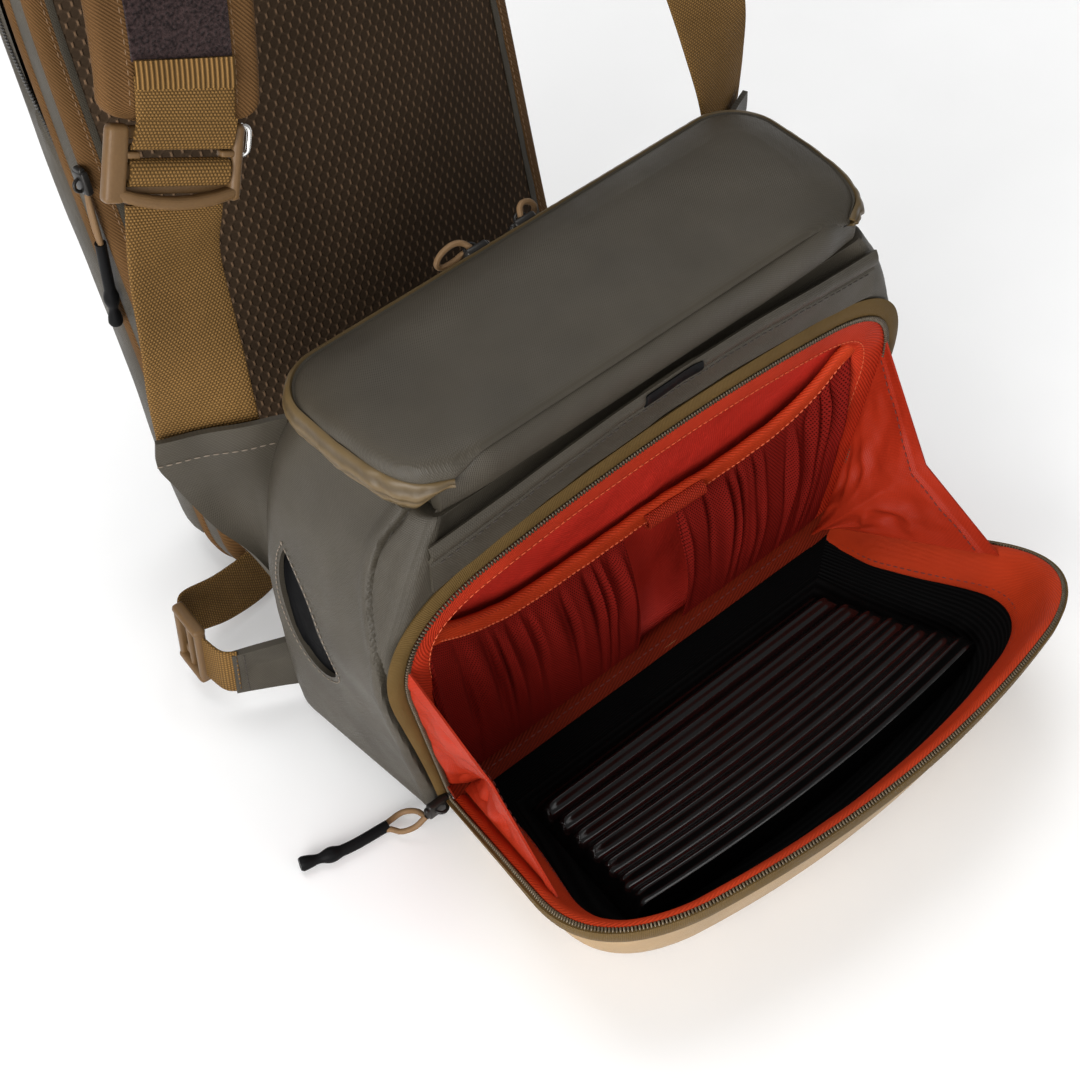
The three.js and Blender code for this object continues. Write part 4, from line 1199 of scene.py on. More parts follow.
class CHESTPACK_OT_front(bpy.types.Operator):
    """Makes the rolled cloth under the lid and the slip pocket below it"""

    bl_idname = "chest_pack.front"
    bl_label = "Front roll and pocket"
    pocket_half = 113

    def execute(self, context):
        self.roll()
        self.pocket()
        return {"FINISHED"}

    def roll(self):
        sides, steps, half = 26, 90, 103.5

        def place(u, v):
            x = lerp(-half, half, v)
            end = ease(82, half, abs(x))
            turn = 2 * math.pi * u
            tall, deep = lerp(9.2, 7.8, end), lerp(4.2, 3.0, end)
            swell = 1 + 0.10 * crease((x, 0, 0), 34)
            y = -41.0 + 3.6 * end + deep * swell * math.cos(turn)
            z = 186.2 - 5.2 * end + 0.8 * crease((x, 9, 0), 40) + tall * math.sin(turn)
            return Vector((x, y, z))

        roll = sheet("front_cloth_roll", sides, steps, place, closed=True, capped=True)
        dress(roll, "Olive coated cloth", ["front_roll"], 60)

    def low(self, x):
        return HINGE_Z + ZIP_LENGTH + ARCH_BODY * (1 - (x / ZIP_TOP) ** 2) + 5.5

    def high(self, x):
        return 177.4 - 10 * (x / self.pocket_half) ** 2

    def face(self, x, v):
        """A point of the pocket's face, v from its foot at the zip to its hem."""
        z = lerp(self.low(x), self.high(x), v)
        drop = self.high(x) - z
        open_by = 3.2 * ease(0.1, 1, v) * (1 - (x / self.pocket_half) ** 4)
        y = track(BODY, z)[2] - 0.9 - open_by
        gap = ease(-15, -11, x) - ease(11, 15, x)
        hem = hump(drop, 3.6, 4.6) * (1.5 - 1.1 * gap)
        y -= hem - 0.9 * hump(drop, 8.4, 1.3)
        y -= 0.35 * crease((x, 0, z), 11) * ease(0, 4, drop) + 0.3 * crease((x, 4, z), 30)
        return Vector((x, y, z))

    def pocket(self):
        def place(u, v):
            return self.face(lerp(-self.pocket_half, self.pocket_half, u), v)

        pocket = thicken(sheet("front_slip_pocket", 150, 40, place), 1.4)
        dress(pocket, "Olive coated cloth", ["front_pocket"], 60)
        line = []
        for i in range(101):
            x = lerp(-108, 108, i / 100)
            v = (self.high(x) - 10.2 - self.low(x)) / (self.high(x) - self.low(x))
            line.append(self.face(x, v) + Vector((0, -0.85, 0)))
        stitches("pocket_stitches", line, Vector((0, -1, 0.1)), "Dark thread")
        self.tab()

    def tab(self):
        """A short rubber strip in the notch of the pocket's hem."""

        def place(u, v):
            x = lerp(-13, 15, u)
            return self.face(x, lerp(0.66, 0.93, v)) + Vector((0, -0.8 - 0.2 * math.sin(math.pi * v), 0))

        tab = thicken(sheet("pocket_tab", 24, 8, place), 1.2)
        dress(tab, "Black soft rubber")


class CHESTPACK_OT_front_zip(bpy.types.Operator):
    """Makes the two halves of the front zip, on the body and on the tray, and its slider"""

    bl_idname = "chest_pack.front_zip"
    bl_label = "Front zip"

    def execute(self, context):
        profile = [(-2.2, 0.7), (-1.9, 1.3), (-0.8, 1.6), (0.6, 1.7), (2.2, 1.6), (3.8, 1.2), (5.6, 0.5)]
        lines = []
        for out, ahead in profile:
            slim, full = zip_line(ARCH_BODY, lerp(-2.2, out, 0.5)), zip_line(ARCH_BODY, out)
            shares = [ease(0.02, 0.24, m) - 0.25 * ease(0.27, 0.42, m) for m in end_shares()]
            lines.append([on_front(a.lerp(b, s), ahead) for a, b, s in zip(slim, full, shares)])
        tape = thicken(laid("front_zip_tape", lines), 0.9)
        dress(tape, "Coated zip tape", ["body_zip_tape"], 60)
        coil = [on_front(p, 2.2) for p in zip_line(ARCH_BODY, -2.8)]
        zip_teeth("front_zip_coil", coil, [Vector((0, -1, 0))], "Zip coil")
        profile = [(-0.04, 1.0), (-0.045, 0.2), (0.0, -0.5), (0.05, -0.7), (0.1, -0.4), (0.13, 0.3)]
        lines = [tray_ring(depth, inset) for depth, inset in profile]
        tape = thicken(laid("tray_tape", lines), 0.9)
        dress(tape, "Coated zip tape", ["tray_zip_tape"], 60)
        coil = tray_ring(-0.055, 1.9)
        facings = [a - b for a, b in zip(tray_ring(-0.055, -1.0), tray_ring(0.1, 4.0))]
        zip_teeth("tray_zip_coil", coil, facings, "Brown zip coil")
        low, high = (Vector(c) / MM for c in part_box("tray_slider"))
        middle = (low + high) / 2 + Vector((6, -0.5, 1.5))
        place = Matrix.Translation(middle) @ Matrix.Rotation(math.radians(90), 4, "X")
        zip_slider("tray_zip_slider", place @ Matrix.Diagonal((-1, 1, 1, 1)), ["tray_slider"])
        return {"FINISHED"}


# Front compartment


class CHESTPACK_OT_lining(bpy.types.Operator):
    """Makes the red compartment: wall, facing, hinge strip, elastic edge, gathered pockets and webbing loop"""

    bl_idname = "chest_pack.lining"
    bl_label = "Lining"

    def execute(self, context):
        self.wall()
        self.facing()
        self.hinge()
        self.elastic()
        self.pocket("mesh_pocket_left", -118, -4.6, 10)
        self.pocket("mesh_pocket_right", 23.6, 112, 9)
        self.loop()
        return {"FINISHED"}

    def wall(self):
        columns, rows = 120, 40
        outline = zip_line(ARCH_BODY, -2.6, columns)

        def place(u, v):
            edge = outline[round(u * columns)]
            foot = Vector((lerp(outline[0].x, -outline[0].x, u), -3))
            at = on_front(foot.lerp(edge, v), -3.2)
            dish = math.sqrt(max(4 * u * (1 - u), 0)) * max(math.sin(math.pi * v**0.6), 0.0) ** 0.8
            at.y += 17 * dish + dish * (1.6 * crease(at, 26) + 0.5 * crease(at, 9, 2))
            return at

        wall = thicken(sheet("lining_cloth", columns, rows, place), 1.2)
        dress(wall, "Red lining cloth", ["lining_wall"], 60)

    def facing(self):
        """Twill tape inside the zip, turned in to the lining and sewn down."""
        profile = [
            (-2.6, 0.9), (-5, 1.1), (-9, 1.0), (-12.5, 0.6),
            (-15.2, 0.2), (-16, -0.7), (-17, -1.7), (-18, -3.6),
        ]
        lines = [[on_front(p, ahead) for p in zip_line(ARCH_BODY, out)] for out, ahead in profile]
        tape = thicken(laid("lining_facing", lines), 0.8)
        dress(tape, "Red twill facing", angle=60)
        line = [on_front(p, 0.85) for p in zip_line(ARCH_BODY, -14.4)]
        stitches("facing_stitches", line, Vector((0, -1, 0)), "Orange thread", 2.8, (2.3, 0.5, 0.4))

    def hinge(self):
        """Bound cloth over the hinge, from the compartment's floor down into the tray."""
        profile = [
            (-36.5, 14.8), (-38, 16.2), (-40.5, 16.7), (-43, 16.4),
            (-44.8, 15.4), (-46.4, 14.0), (-48.0, 12.0),
        ]
        rows, half = len(profile) - 1, 109

        def place(u, v):
            y, z = profile[round(v * rows)]
            x = lerp(-half, half, u)
            return Vector((x, y, z + 0.5 * crease((x, y, 0), 22) + 4.5 * (x / half) ** 12))

        strip = thicken(sheet("hinge_binding", 80, rows, place), 1.0)
        # The strip's finish is the bound edges' orange with painted shade.
        dress(strip, "Orange hinge tape with painted shade", ["hinge_strip"], 60)
        line = [Vector((lerp(-100, 100, i / 50), -44.4, 16.3)) for i in range(51)]
        stitches("hinge_stitches", line, Vector((0, -0.6, 0.8)), "Maroon thread")

    def elastic_z(self, x):
        half, power = (115, 4.5) if x > 0 else (119, 3.0)
        return HINGE_Z + 104 - 41 * (1 - (abs(x) / half) ** power)

    def elastic_y(self, x):
        return front_y(80) + 4 + 10 * (1 - (x / 109) ** 2)

    def elastic_wave(self, x):
        return 0.35 * crease((x, 0, 0), 9) + 0.5 * crease((x, 7, 0), 30)

    def elastic(self):
        profile = [
            (0.9, -0.4), (0.1, 0.0), (-1.9, 0.1), (-2.3, 1.6), (-2.2, 4.6), (-2.3, 6.6),
            (-1.9, 7.2), (-2.5, 7.8), (-1.7, 8.6), (-0.4, 8.5), (0.3, 7.2),
        ]
        rows = len(profile) - 1

        def place(u, v):
            x = lerp(-122, 116, u)
            ahead, up = profile[round(v * rows)]
            wave = self.elastic_wave(x)
            y = self.elastic_y(x) + ahead + wave - ease(104, 112, abs(x))
            return Vector((x, y, self.elastic_z(x) + up + 0.4 * wave))

        band = thicken(sheet("pocket_elastic_band", 160, rows, place), 0.7)
        dress(band, "Orange bound edge", ["pocket_elastic"], 60)
        line = []
        for i in range(121):
            x = lerp(-119, 113, i / 120)
            line.append(Vector((x, self.elastic_y(x) - 2.7 + self.elastic_wave(x), self.elastic_z(x) + 1.2)))
        stitches("elastic_stitches", line, Vector((0, -1, 0.1)), "Orange thread", 2.6, (2.0, 0.7, 0.6))

    def pocket(self, name, start, end, pleats):
        """Mesh gathered on the elastic: deep pleats at the top that spread and fade towards the bottom."""
        low = HINGE_Z + 2.4
        columns, rows = pleats * 20, 36

        def place(u, v):
            warp = u + 0.045 * math.sin(u * 13 + 1.3) + 0.018 * math.sin(u * 37)
            x = lerp(start, end, u)
            top = self.elastic_z(x) + 0.6
            z = lerp(low, top, v)
            slant = 0.10 * (1 - v) * math.sin(u * 5 + 2)
            wave = math.cos(2 * math.pi * pleats * (warp + slant * 0.4))
            wave += 0.35 * math.cos(4.6 * math.pi * pleats * warp + 2 * v)
            deep = 3.6 * ease(1.0, 0.86, v) * ease(-0.1, 0.75, v) * (0.7 + 0.9 * crease((x, 0, z * 0.6), 16))
            swell = 4.6 * math.sin(math.pi * v) ** 0.9
            y = lerp(front_y(low) - 0.6, self.elastic_y(x) - 0.9, v) - swell - deep * wave * 0.62
            edge = hump(u, 1 if start < 0 else 0, 0.05)
            y -= 2.0 * edge * math.sin(math.pi * v)
            return Vector((x * lerp(0.9, 1, v), min(y, self.elastic_y(x) - 0.6), z))

        mesh = thicken(sheet(f"{name}_cloth", columns, rows, place), 0.5)
        dress(mesh, "Red pocket mesh", [name], 80)

    def loop(self):
        """A folded webbing loop, open from end to end."""
        start, end, steps = 6, 36, 30
        front, low = self.elastic_y(end) - 2.4, self.elastic_z(end) + 0.2
        bends = [(0.1, 5.4), (1.2, 5.6), (3.0, 4.4), (3.9, 2.4), (3.2, 0.6), (1.6, 0.0), (0.1, 0.6)]
        section = smooth_line([(*p, 0) for p in bends], steps)

        def place(u, v):
            ahead, up, _ = section[round(u * steps)]
            x = lerp(start, end, v)
            lift = self.elastic_z(x) - self.elastic_z(end)
            return Vector((x, front - ahead + self.elastic_y(x) - self.elastic_y(end), low + up + lift))

        loop = thicken(sheet("webbing_key_loop", steps, steps, place), 1.1)
        dress(loop, "Red loop webbing", ["key_loop"], 60)


# Tray


class CHESTPACK_OT_tray(bpy.types.Operator):
    """Makes the moulded tray, its black lining, its bound rim and the ridged foam"""

    bl_idname = "chest_pack.tray"
    bl_label = "Tray"

    def execute(self, context):
        self.shell()
        self.liner()
        self.rim()
        self.foam()
        return {"FINISHED"}

    def shrunk(self, edge, share, z):
        """The foot's line drawn in towards the tray's middle, at a height."""
        return [Vector((p.x * share, TRAY_MIDDLE + (p.y - TRAY_MIDDLE) * share, z)) for p in edge]

    def shell(self):
        depths = [0.05, 0.12, 0.2, 0.3, 0.4, 0.5, 0.6, 0.7, 0.8, 0.88, 0.94]
        loops = [tray_loop(depth, 1.0) for depth in depths]
        edge = tray_loop(1.0, 3.0)
        loops.append([p + Vector((0, 0, 0.9 - p.z)) for p in edge])
        for share, z in ((0.97, 0.1), (0.8, 0), (0.4, 0), (0.0, 0)):
            loops.append(self.shrunk(edge, share, z))
        shell = thicken(laid("tray_moulded_shell", loops, True), 1.8, -1.0)
        dress(shell, "Tan moulded cloth", ["tray_shell"], 60)

    def liner(self):
        profile = [
            (0.14, 14), (0.2, 14.2), (0.3, 12.6), (0.42, 10), (0.55, 8), (0.68, 7), (0.8, 6.4), (0.9, 6.4),
        ]
        floor = 4.1
        loops = [tray_loop(depth, inset, floor) for depth, inset in profile]
        edge = tray_loop(0.97, 8.5, floor)
        loops.append([p + Vector((0, 0, 4.6 - p.z)) for p in edge])
        for share in (0.9, 0.5, 0.0):
            loops.append(self.shrunk(edge, share, 4.3))
        liner = laid("tray_knit_liner", loops, True)
        liner.data.flip_normals()
        liner = thicken(liner, 1.0, -1.0)
        dress(liner, "Black knit lining", ["tray_liner"], 60)

    def rim(self):
        """A rolled edge over a flat band that is sewn to the lining."""
        profile = [
            (0.26, 13.6), (0.265, 15.2), (0.24, 16.2), (0.18, 15.6), (0.12, 13.6), (0.07, 11.2), (0.03, 9.0),
            (-0.01, 7.6), (-0.05, 6.6), (-0.08, 5.2), (-0.075, 3.8), (-0.035, 3.0), (0.02, 2.9), (0.06, 3.4),
        ]
        floor = 2.5
        lines = []
        for depth, inset in profile:
            lines.append([p + Vector((0, 0, 0.5 * crease(p, 17))) for p in eased_ring(depth, inset, floor)])
        rim = thicken(laid("tray_bound_rim", lines), 0.8)
        dress(rim, "Orange bound edge", ["tray_rim"], 70)
        line = eased_ring(0.195, 16.4, floor)
        facings = [Vector((0, -110, 60)) - p for p in line]
        stitches("rim_stitches", line, facings, "Maroon thread", 3.2, (2.4, 0.7, 0.6))

    def foam(self):
        """Closed foam with seven rounded ridges from side to side."""
        ridges, steps = 7, 16
        rows = ridges * steps + 8
        columns = 64

        def place(u, v):
            row = round(v * rows)
            t = min(max((row - 4) / (ridges * steps), 0.0), 1.0)
            skirt = min(row, rows - row, 4) / 4
            half = lerp(82, 98, t)
            side = 2 * u - 1
            x = side * half + lerp(-3, 6, t)
            reach = (1 - abs(side)) * half
            ends = math.sqrt(max(1 - (1 - min(reach / 5, 1.0)) ** 2, 0))
            ripple = abs(math.sin(math.pi * ridges * t)) ** 3
            ridge = 3.4 * ripple * math.sqrt(max(1 - (1 - min(max(reach - 2, 0) / 7, 1.0)) ** 2, 0))
            z = 4.4 + ((4.0 + 9 * t) * ends + ridge) * math.sin(math.pi / 2 * skirt)
            y = lerp(-66, -131, t) - 6 * t * (1 - side * side) + (1 - skirt) * (1.5 if row < rows / 2 else -1.5)
            return Vector((x, y, z))

        foam = thicken(sheet("ridged_foam", columns, rows, place), 0.6, 1.0)
        dress(foam, "Black ridged foam", ["tray_foam"], 60)


class CHESTPACK_OT_gussets(bpy.types.Operator):
    """Makes the two folded red gussets that hold the tray open"""

    bl_idname = "chest_pack.gussets"
    bl_label = "Gussets"

    def execute(self, context):
        self.body_line = zip_line(ARCH_BODY, -3.4)
        self.tray_line = zip_line(ARCH_TRAY, -7.6)
        for name, mirror in SIDES:
            self.gusset(name, mirror)
        return {"FINISHED"}

    def spot(self, u, v):
        """A point of the left gusset, u from the body over the fold to the tray and v up from the hinge."""
        body = on_front(walk(self.body_line, v * 100), 1.0)
        tray = on_tray(walk(self.tray_line, v * 84), -1.4)
        fold = Vector((-94, -46, 17)).lerp(Vector((-117.5, -80.5, 71)), v)
        half = u * 2 if u < 0.5 else u * 2 - 1
        p = body.lerp(fold, half) if u < 0.5 else fold.lerp(tray, half)
        slack = math.sin(math.pi * half) * math.sin(math.pi * min(v * 1.05, 1)) ** 0.7
        ridge = 0.25 - abs(crease((u * 60, v * 70, 0), 17))
        p.x += slack * (7 * ridge + 1.4 * crease((u * 60, v * 70, 4), 8) - 1.2)
        p.x -= 0.8 * ease(0.90, 0.92, v)
        return p

    def gusset(self, name, mirror):
        piece = thicken(sheet(f"gusset_cloth_{name}", 72, 72, self.spot, mirror=mirror), 0.9)
        dress(piece, "Glossy red gusset cloth", [f"gusset_{name}"], 50)
        line = [self.spot(lerp(0.03, 0.97, i / 60), 0.895) + Vector((0.75, 0, 0)) for i in range(61)]
        facing = Vector((1, 0, 0.2))
        stitches(f"gusset_stitches_{name}", line, facing, "Maroon thread", 3.0, (2.2, 0.6, 0.5), mirror)


# Harness


class CHESTPACK_OT_shoulder_straps(bpy.types.Operator):
    """Makes both shoulder straps: cloth wing, webbing, ladder buckle with its wire, and padded strap"""

    bl_idname = "chest_pack.shoulder_straps"
    bl_label = "Shoulder straps"

    def execute(self, context):
        sizes = context.scene.chest_pack_sizes
        wide, thick = sizes.webbing_width / MM, sizes.webbing_thickness / MM
        for name, mirror in SIDES:
            self.wing(name, mirror)
            web = strap(f"shoulder_web_{name}", WEBBING_ROUTE, flat_section(wide, thick), 60, mirror)
            dress(web, "Shoulder webbing weave", [f"shoulder_webbing_{name}"])
            self.buckle(name, mirror, wide, thick)
            self.pad(name, mirror, sizes.pad_width / MM, wide, thick)
        return {"FINISHED"}

    def wing(self, name, mirror):
        """Olive cloth that runs from the body's back corner out to the foot of the webbing."""
        edge = [(74, 2.0), (92, 10), (114, 23), (138, 34), (152, 40), (164.5, 39.5)]
        seat = Vector((-116, 45, 0))
        share = 0.88 if mirror else 1.0

        def spot(u, v):
            z = lerp(edge[0][0], edge[-1][0], v)
            root = root_at(min(z, 160), (seat.x, seat.y))
            reach = lerp(root, max(track(edge, z)[0] * share, root + 1), u)
            bulge = 2.2 * math.sin(math.pi * u) * math.sin(math.pi * min(v + 0.15, 1))
            bulge = (bulge + 1.6 * crease((reach, 0, z), 22)) * ease(0, 0.25, u)
            return seat + OUTWARD * reach + REARWARD * bulge + Vector((0, 0, z))

        plate = thicken(sheet(f"wing_cloth_{name}", 40, 60, spot, mirror=mirror), 2.2)
        dress(plate, "Olive coated cloth", [f"wing_{name}"], 50)
        line = [spot(lerp(0.08, 0.98, i / 40), 0.87) - REARWARD * 1.3 for i in range(41)]
        stitches(f"wing_stitches_{name}", line, -REARWARD, "Olive thread", 3.2, (2.5, 0.6, 0.5), mirror)

    def buckle(self, name, mirror, wide, thick):
        basis = buckle_basis(SHOULDER_BUCKLE)
        rails = []
        for side, across in ((-1, 8.2), (1, 4.6)):
            place = Matrix.Translation((side * (19.9 + across / 2), 1.2, 0.4))
            rails.append(block((across, 27, 6.0), place, 2.2, 4))
            rails.append(block((5.4, 2.4, 4.2), Matrix.Translation((side * 18.2, 4.2, 0.8)), 0.8))
        rails.append(block((42, 5.2, 2.0), Matrix.Translation((0, -7.4, -1.6)), 0.8))
        for y, tall, deep, lift in ((11.5, 4.6, 3.4, -0.6), (-2.0, 6.6, 3.0, -0.8)):
            rails.append(block((44, tall, deep), Matrix.Translation((0, y, lift)), 1.2))
        rails.append(self.lip())
        piece = join(f"ladder_buckle_{name}", rails)
        seat_piece(piece, basis, mirror)
        dress(piece, "Tan moulded buckle", [f"shoulder_buckle_{name}"], 50)
        wrap_rows = [(-6.4, -1.0), (-5.6, 1.6), (-3.6, 2.6), (-0.8, 2.7), (1.4, 2.0), (2.2, 0.2), (1.6, -1.8)]

        def wrap(u, v):
            y, z = wrap_rows[round(v * 6)]
            return basis @ Vector((lerp(-wide / 2, wide / 2, u), y, z + 0.3))

        band = thicken(sheet(f"buckle_web_wrap_{name}", 24, 6, wrap, mirror=mirror), thick)
        dress(band, "Shoulder webbing weave", angle=70)
        fold_rows = [(6.6, -2.0), (6.4, 0.4), (7.0, 2.4), (9, 3.6), (11.5, 4.3), (14, 4.8), (17, 5.0)]

        def fold(u, v):
            y, z = spline([(a, b, 0) for a, b in fold_rows], v)[:2]
            return basis @ Vector((lerp(-wide / 2, wide / 2, u), y, z))

        band = thicken(sheet(f"strap_web_fold_{name}", 24, 28, fold, mirror=mirror), thick)
        dress(band, "Shoulder webbing weave", angle=70)
        loop = [
            (24, 3.4, 0.4), (25.7, 3.7, 0.6), (26.8, 5.2, 0.8), (27, 8.5, 0.8),
            (26.8, 11.8, 0.8), (25.7, 13.3, 0.6), (24, 13.6, 0.4),
        ]
        wire = tube(f"buckle_steel_wire_{name}", [basis @ Vector(p) for p in loop], 0.95, 32, 10, mirror)
        dress(wire, "Bright steel wire", [f"buckle_wire_{name}"])

    def lip(self):
        """The buckle's curved lower lip, hollowed above for the webbing's tail."""
        piece = block((48, 4.4, 6.0), Matrix.Translation((-1.2, 0, 0)), 1.6, 3)
        activate(piece)
        bpy.ops.object.mode_set(mode="EDIT")
        bpy.ops.mesh.select_all(action="SELECT")
        bpy.ops.mesh.subdivide(number_cuts=5)
        bpy.ops.object.mode_set(mode="OBJECT")
        for vertex in piece.data.vertices:
            x = vertex.co.x / 23
            vertex.co.y += -12.6 + 3.6 * x * x
            vertex.co.z += 0.4 + 1.4 * (1 - x * x) * (0.5 - vertex.co.y * 0.02)
        return piece

    def pad(self, name, mirror, wide, web, thick):
        """A padded strap with bound edges, a loop tape on its face and a stitched channel beside each edge."""
        section = flat_section(wide, 7.6, 28, 8)

        def lift(side):
            return -0.5 * hump(abs(side), wide / 2 - 12.5, 2.0)

        def taper(v):
            return 0.66 + 0.34 * math.sqrt(1 - (1 - min(v / 0.05, 1.0)) ** 2)

        pad = strap(f"shoulder_pad_cloth_{name}", PAD_ROUTE, section, 120, mirror, lift=lift, taper=taper)
        dress(pad, "Twill binding", [f"shoulder_pad_{name}"], 60)
        for part, deep, down, steps, start, end, finish in (
            ("loop_tape", 1.8, 4.3, 60, 0.14, 0.455, "Brown loop tape"),
            ("web_laid", thick, 4.9, 20, 0.0, 0.114, "Shoulder webbing weave"),
            ("web_keeper", thick, 6.0, 16, 0.0875, 0.144, "Ribbed keeper webbing"),
        ):
            flat = [(a, b - down) for a, b in flat_section(web, deep, 16, 4)]
            piece = strap(f"strap_{part}_{name}", PAD_ROUTE, flat, steps, mirror, start, end)
            dress(piece, finish)
        for edge, side in (("inner", -1), ("outer", 1)):
            line = []
            facings = []
            for i in range(81):
                middle, across, face = strap_frame(PAD_ROUTE, lerp(0.05, 0.97, i / 80))
                line.append(middle + across * side * (wide / 2 - 10.6) - face * 3.9)
                facings.append(-face)
            row = f"pad_stitches_{name}_{edge}"
            stitches(row, line, facings, "Brown thread", 3.4, (2.3, 0.5, 0.4), mirror)


class CHESTPACK_OT_side_straps(bpy.types.Operator):
    """Makes both side straps: cloth tab, webbing, buckle and the webbing to the back panel"""

    bl_idname = "chest_pack.side_straps"
    bl_label = "Side straps"

    def execute(self, context):
        sizes = context.scene.chest_pack_sizes
        wide, thick = sizes.side_webbing_width / MM, sizes.webbing_thickness / MM
        for name, mirror in SIDES:
            self.tab(name, mirror)
            front = strap(f"side_web_front_{name}", LOWER_FRONT_ROUTE, flat_section(wide, thick), 24, mirror)
            dress(front, "Shoulder webbing weave", [f"lower_webbing_front_{name}"])
            back = strap(f"side_web_back_{name}", LOWER_BACK_ROUTE, flat_section(wide, thick), 48, mirror)
            dress(back, "Shoulder webbing weave", [f"lower_webbing_back_{name}"])
            self.buckle(name, mirror)
        return {"FINISHED"}

    def tab(self, name, mirror):
        """A cloth tab folded round the end of the webbing, with two rows of stitches."""
        seat = Vector((-137, 56, 0))

        def spot(u, v):
            low, high = lerp(9.5, 11.5, u), lerp(38, 35.5, u)
            z = lerp(low, high, v)
            root = root_at(max(z, 11), (seat.x, seat.y))
            reach = lerp(root, 0.4, u)
            bulge = 1.3 * math.sin(math.pi * u) * (1 + 0.8 * crease((reach, 0, z), 12)) * math.sin(math.pi * v)
            return seat + OUTWARD * reach + REARWARD * bulge + Vector((0, 0, z))

        tab = thicken(sheet(f"side_tab_cloth_{name}", 36, 24, spot, mirror=mirror), 2.8)
        dress(tab, "Olive coated cloth", [f"lower_tab_{name}"], 50)
        for row, u in enumerate((0.80, 0.93)):
            line = [spot(u, lerp(0.08, 0.92, i / 20)) - REARWARD * 1.6 for i in range(21)]
            row_name = f"side_tab_stitches_{name}_{row}"
            stitches(row_name, line, -REARWARD, "Dark thread", 2.6, (2.0, 0.6, 0.5), mirror)

    def buckle(self, name, mirror):
        basis = buckle_basis(LOWER_BUCKLE)
        parts = []
        for side in (-1, 1):
            parts.append(block((4.0, 19.6, 5.6), Matrix.Translation((side * 14.4, 0, 0)), 1.8, 4))
        for y, tall, deep in ((8.2, 3.4, 4.2), (0, 3.0, 3.2), (-8.2, 3.4, 4.6)):
            parts.append(block((29, tall, deep), Matrix.Translation((0, y, 0)), 1.2, 3))
        for side in (-1, 1):
            parts.append(block((5.2, 5.0, 4.4), Matrix.Translation((side * 8.2, 3.6, -1.6)), 1.3, 3))
        piece = join(f"side_buckle_{name}", parts)
        seat_piece(piece, basis, mirror)
        dress(piece, "Tan moulded buckle", [f"lower_buckle_{name}"], 50)


# Back panel and rear bag


class CHESTPACK_OT_back_panel(bpy.types.Operator):
    """Makes the mesh-faced back panel with its binding and olive borders"""

    bl_idname = "chest_pack.back_panel"
    bl_label = "Back panel"

    def execute(self, context):
        self.pad()
        self.binding()
        for name, side in (("left", -1), ("right", 1)):
            self.border(name, side)
        return {"FINISHED"}

    def pad(self):
        section = [(lerp(-1, 1, i / 48), 0) for i in range(49)]
        section += [(lerp(1, -1, i / 24), 1) for i in range(25)]
        count = len(section)
        rows = 90

        def place(u, v):
            up = lerp(7.2, 329.2, v)
            side, back = section[round(u * count) % count]
            half = track(PANEL, up)[0] - 2.2
            x = side * half
            edge = math.sqrt(max(1 - (1 - min((1 - abs(side)) * half / 6, 1)) ** 2, 0))
            ends = math.sqrt(max(1 - (1 - min(min(up - 7, 329.4 - up) / 6, 1)) ** 2, 0))
            puff = edge * ends
            face = 6 - (6.2 + 1.2 * crease((x, up, 0), 55) + 0.7 * math.sin(math.pi * (side + 1) / 2)) * puff
            return panel_point(x, up, 6 + 5.6 * puff if back else face)

        pad = sheet("back_mesh_pad", count, rows, place, closed=True, capped=True)
        dress(pad, "Brown spacer mesh", ["back_pad"], 60)

    def binding(self):
        edge = [(5.6, -1.1), (3.4, -1.3), (1, -1.2), (-0.6, -0.2), (-0.9, 0.9), (-0.6, 2.0)]
        wall = [(0, 1.2), (-0.4, 2.2), (-0.5, 6), (-0.4, 10), (0, 12.8)]
        zip_edge = [(0.2, 12.2), (-0.9, 12.6), (-1.1, 14.2), (-0.9, 16.2), (1.0, 16.8), (5, 15)]
        dress(self.band("back_bound_edge", edge), "Twill binding", ["back_binding"], 60)
        dress(self.band("back_side_wall", wall), "Olive coated cloth", angle=60)
        dress(self.band("back_zip_edge", zip_edge), "Twill binding", angle=60)
        ring = panel_edge(4.2, 10.5, 326)
        line = [panel_point(p.x, p.y, -1.75) for p in ring + ring[:1]]
        stitches("back_edge_stitches", line, Vector((0, -0.96, 0.29)), "Brown thread")

    def band(self, name, profile):
        """A band round the panel's edge, from its section of insets and depths."""
        loops = []
        for inset, depth in profile:
            ring = panel_edge(inset, 6.5 + inset * 0.9, 330 - inset * 0.9)
            loops.append([panel_point(p.x, p.y, depth) for p in ring])
        return thicken(laid(name, loops, True), 0.9)

    def border(self, name, side):
        """An olive strip between the mesh and the binding."""

        def place(u, v):
            up = lerp(16, 320, v)
            half = track(PANEL, up)[0]
            x = side * (half - lerp(3, 8.5, u))
            lift = 1.2 + 0.6 * math.sin(math.pi * u)
            return panel_point(x, up, -lift + 0.35 * crease((x, up, 0), 14) + 0.9)

        strip = thicken(sheet(f"back_border_{name}", 8, 80, place), 1.0)
        dress(strip, "Olive coated cloth")


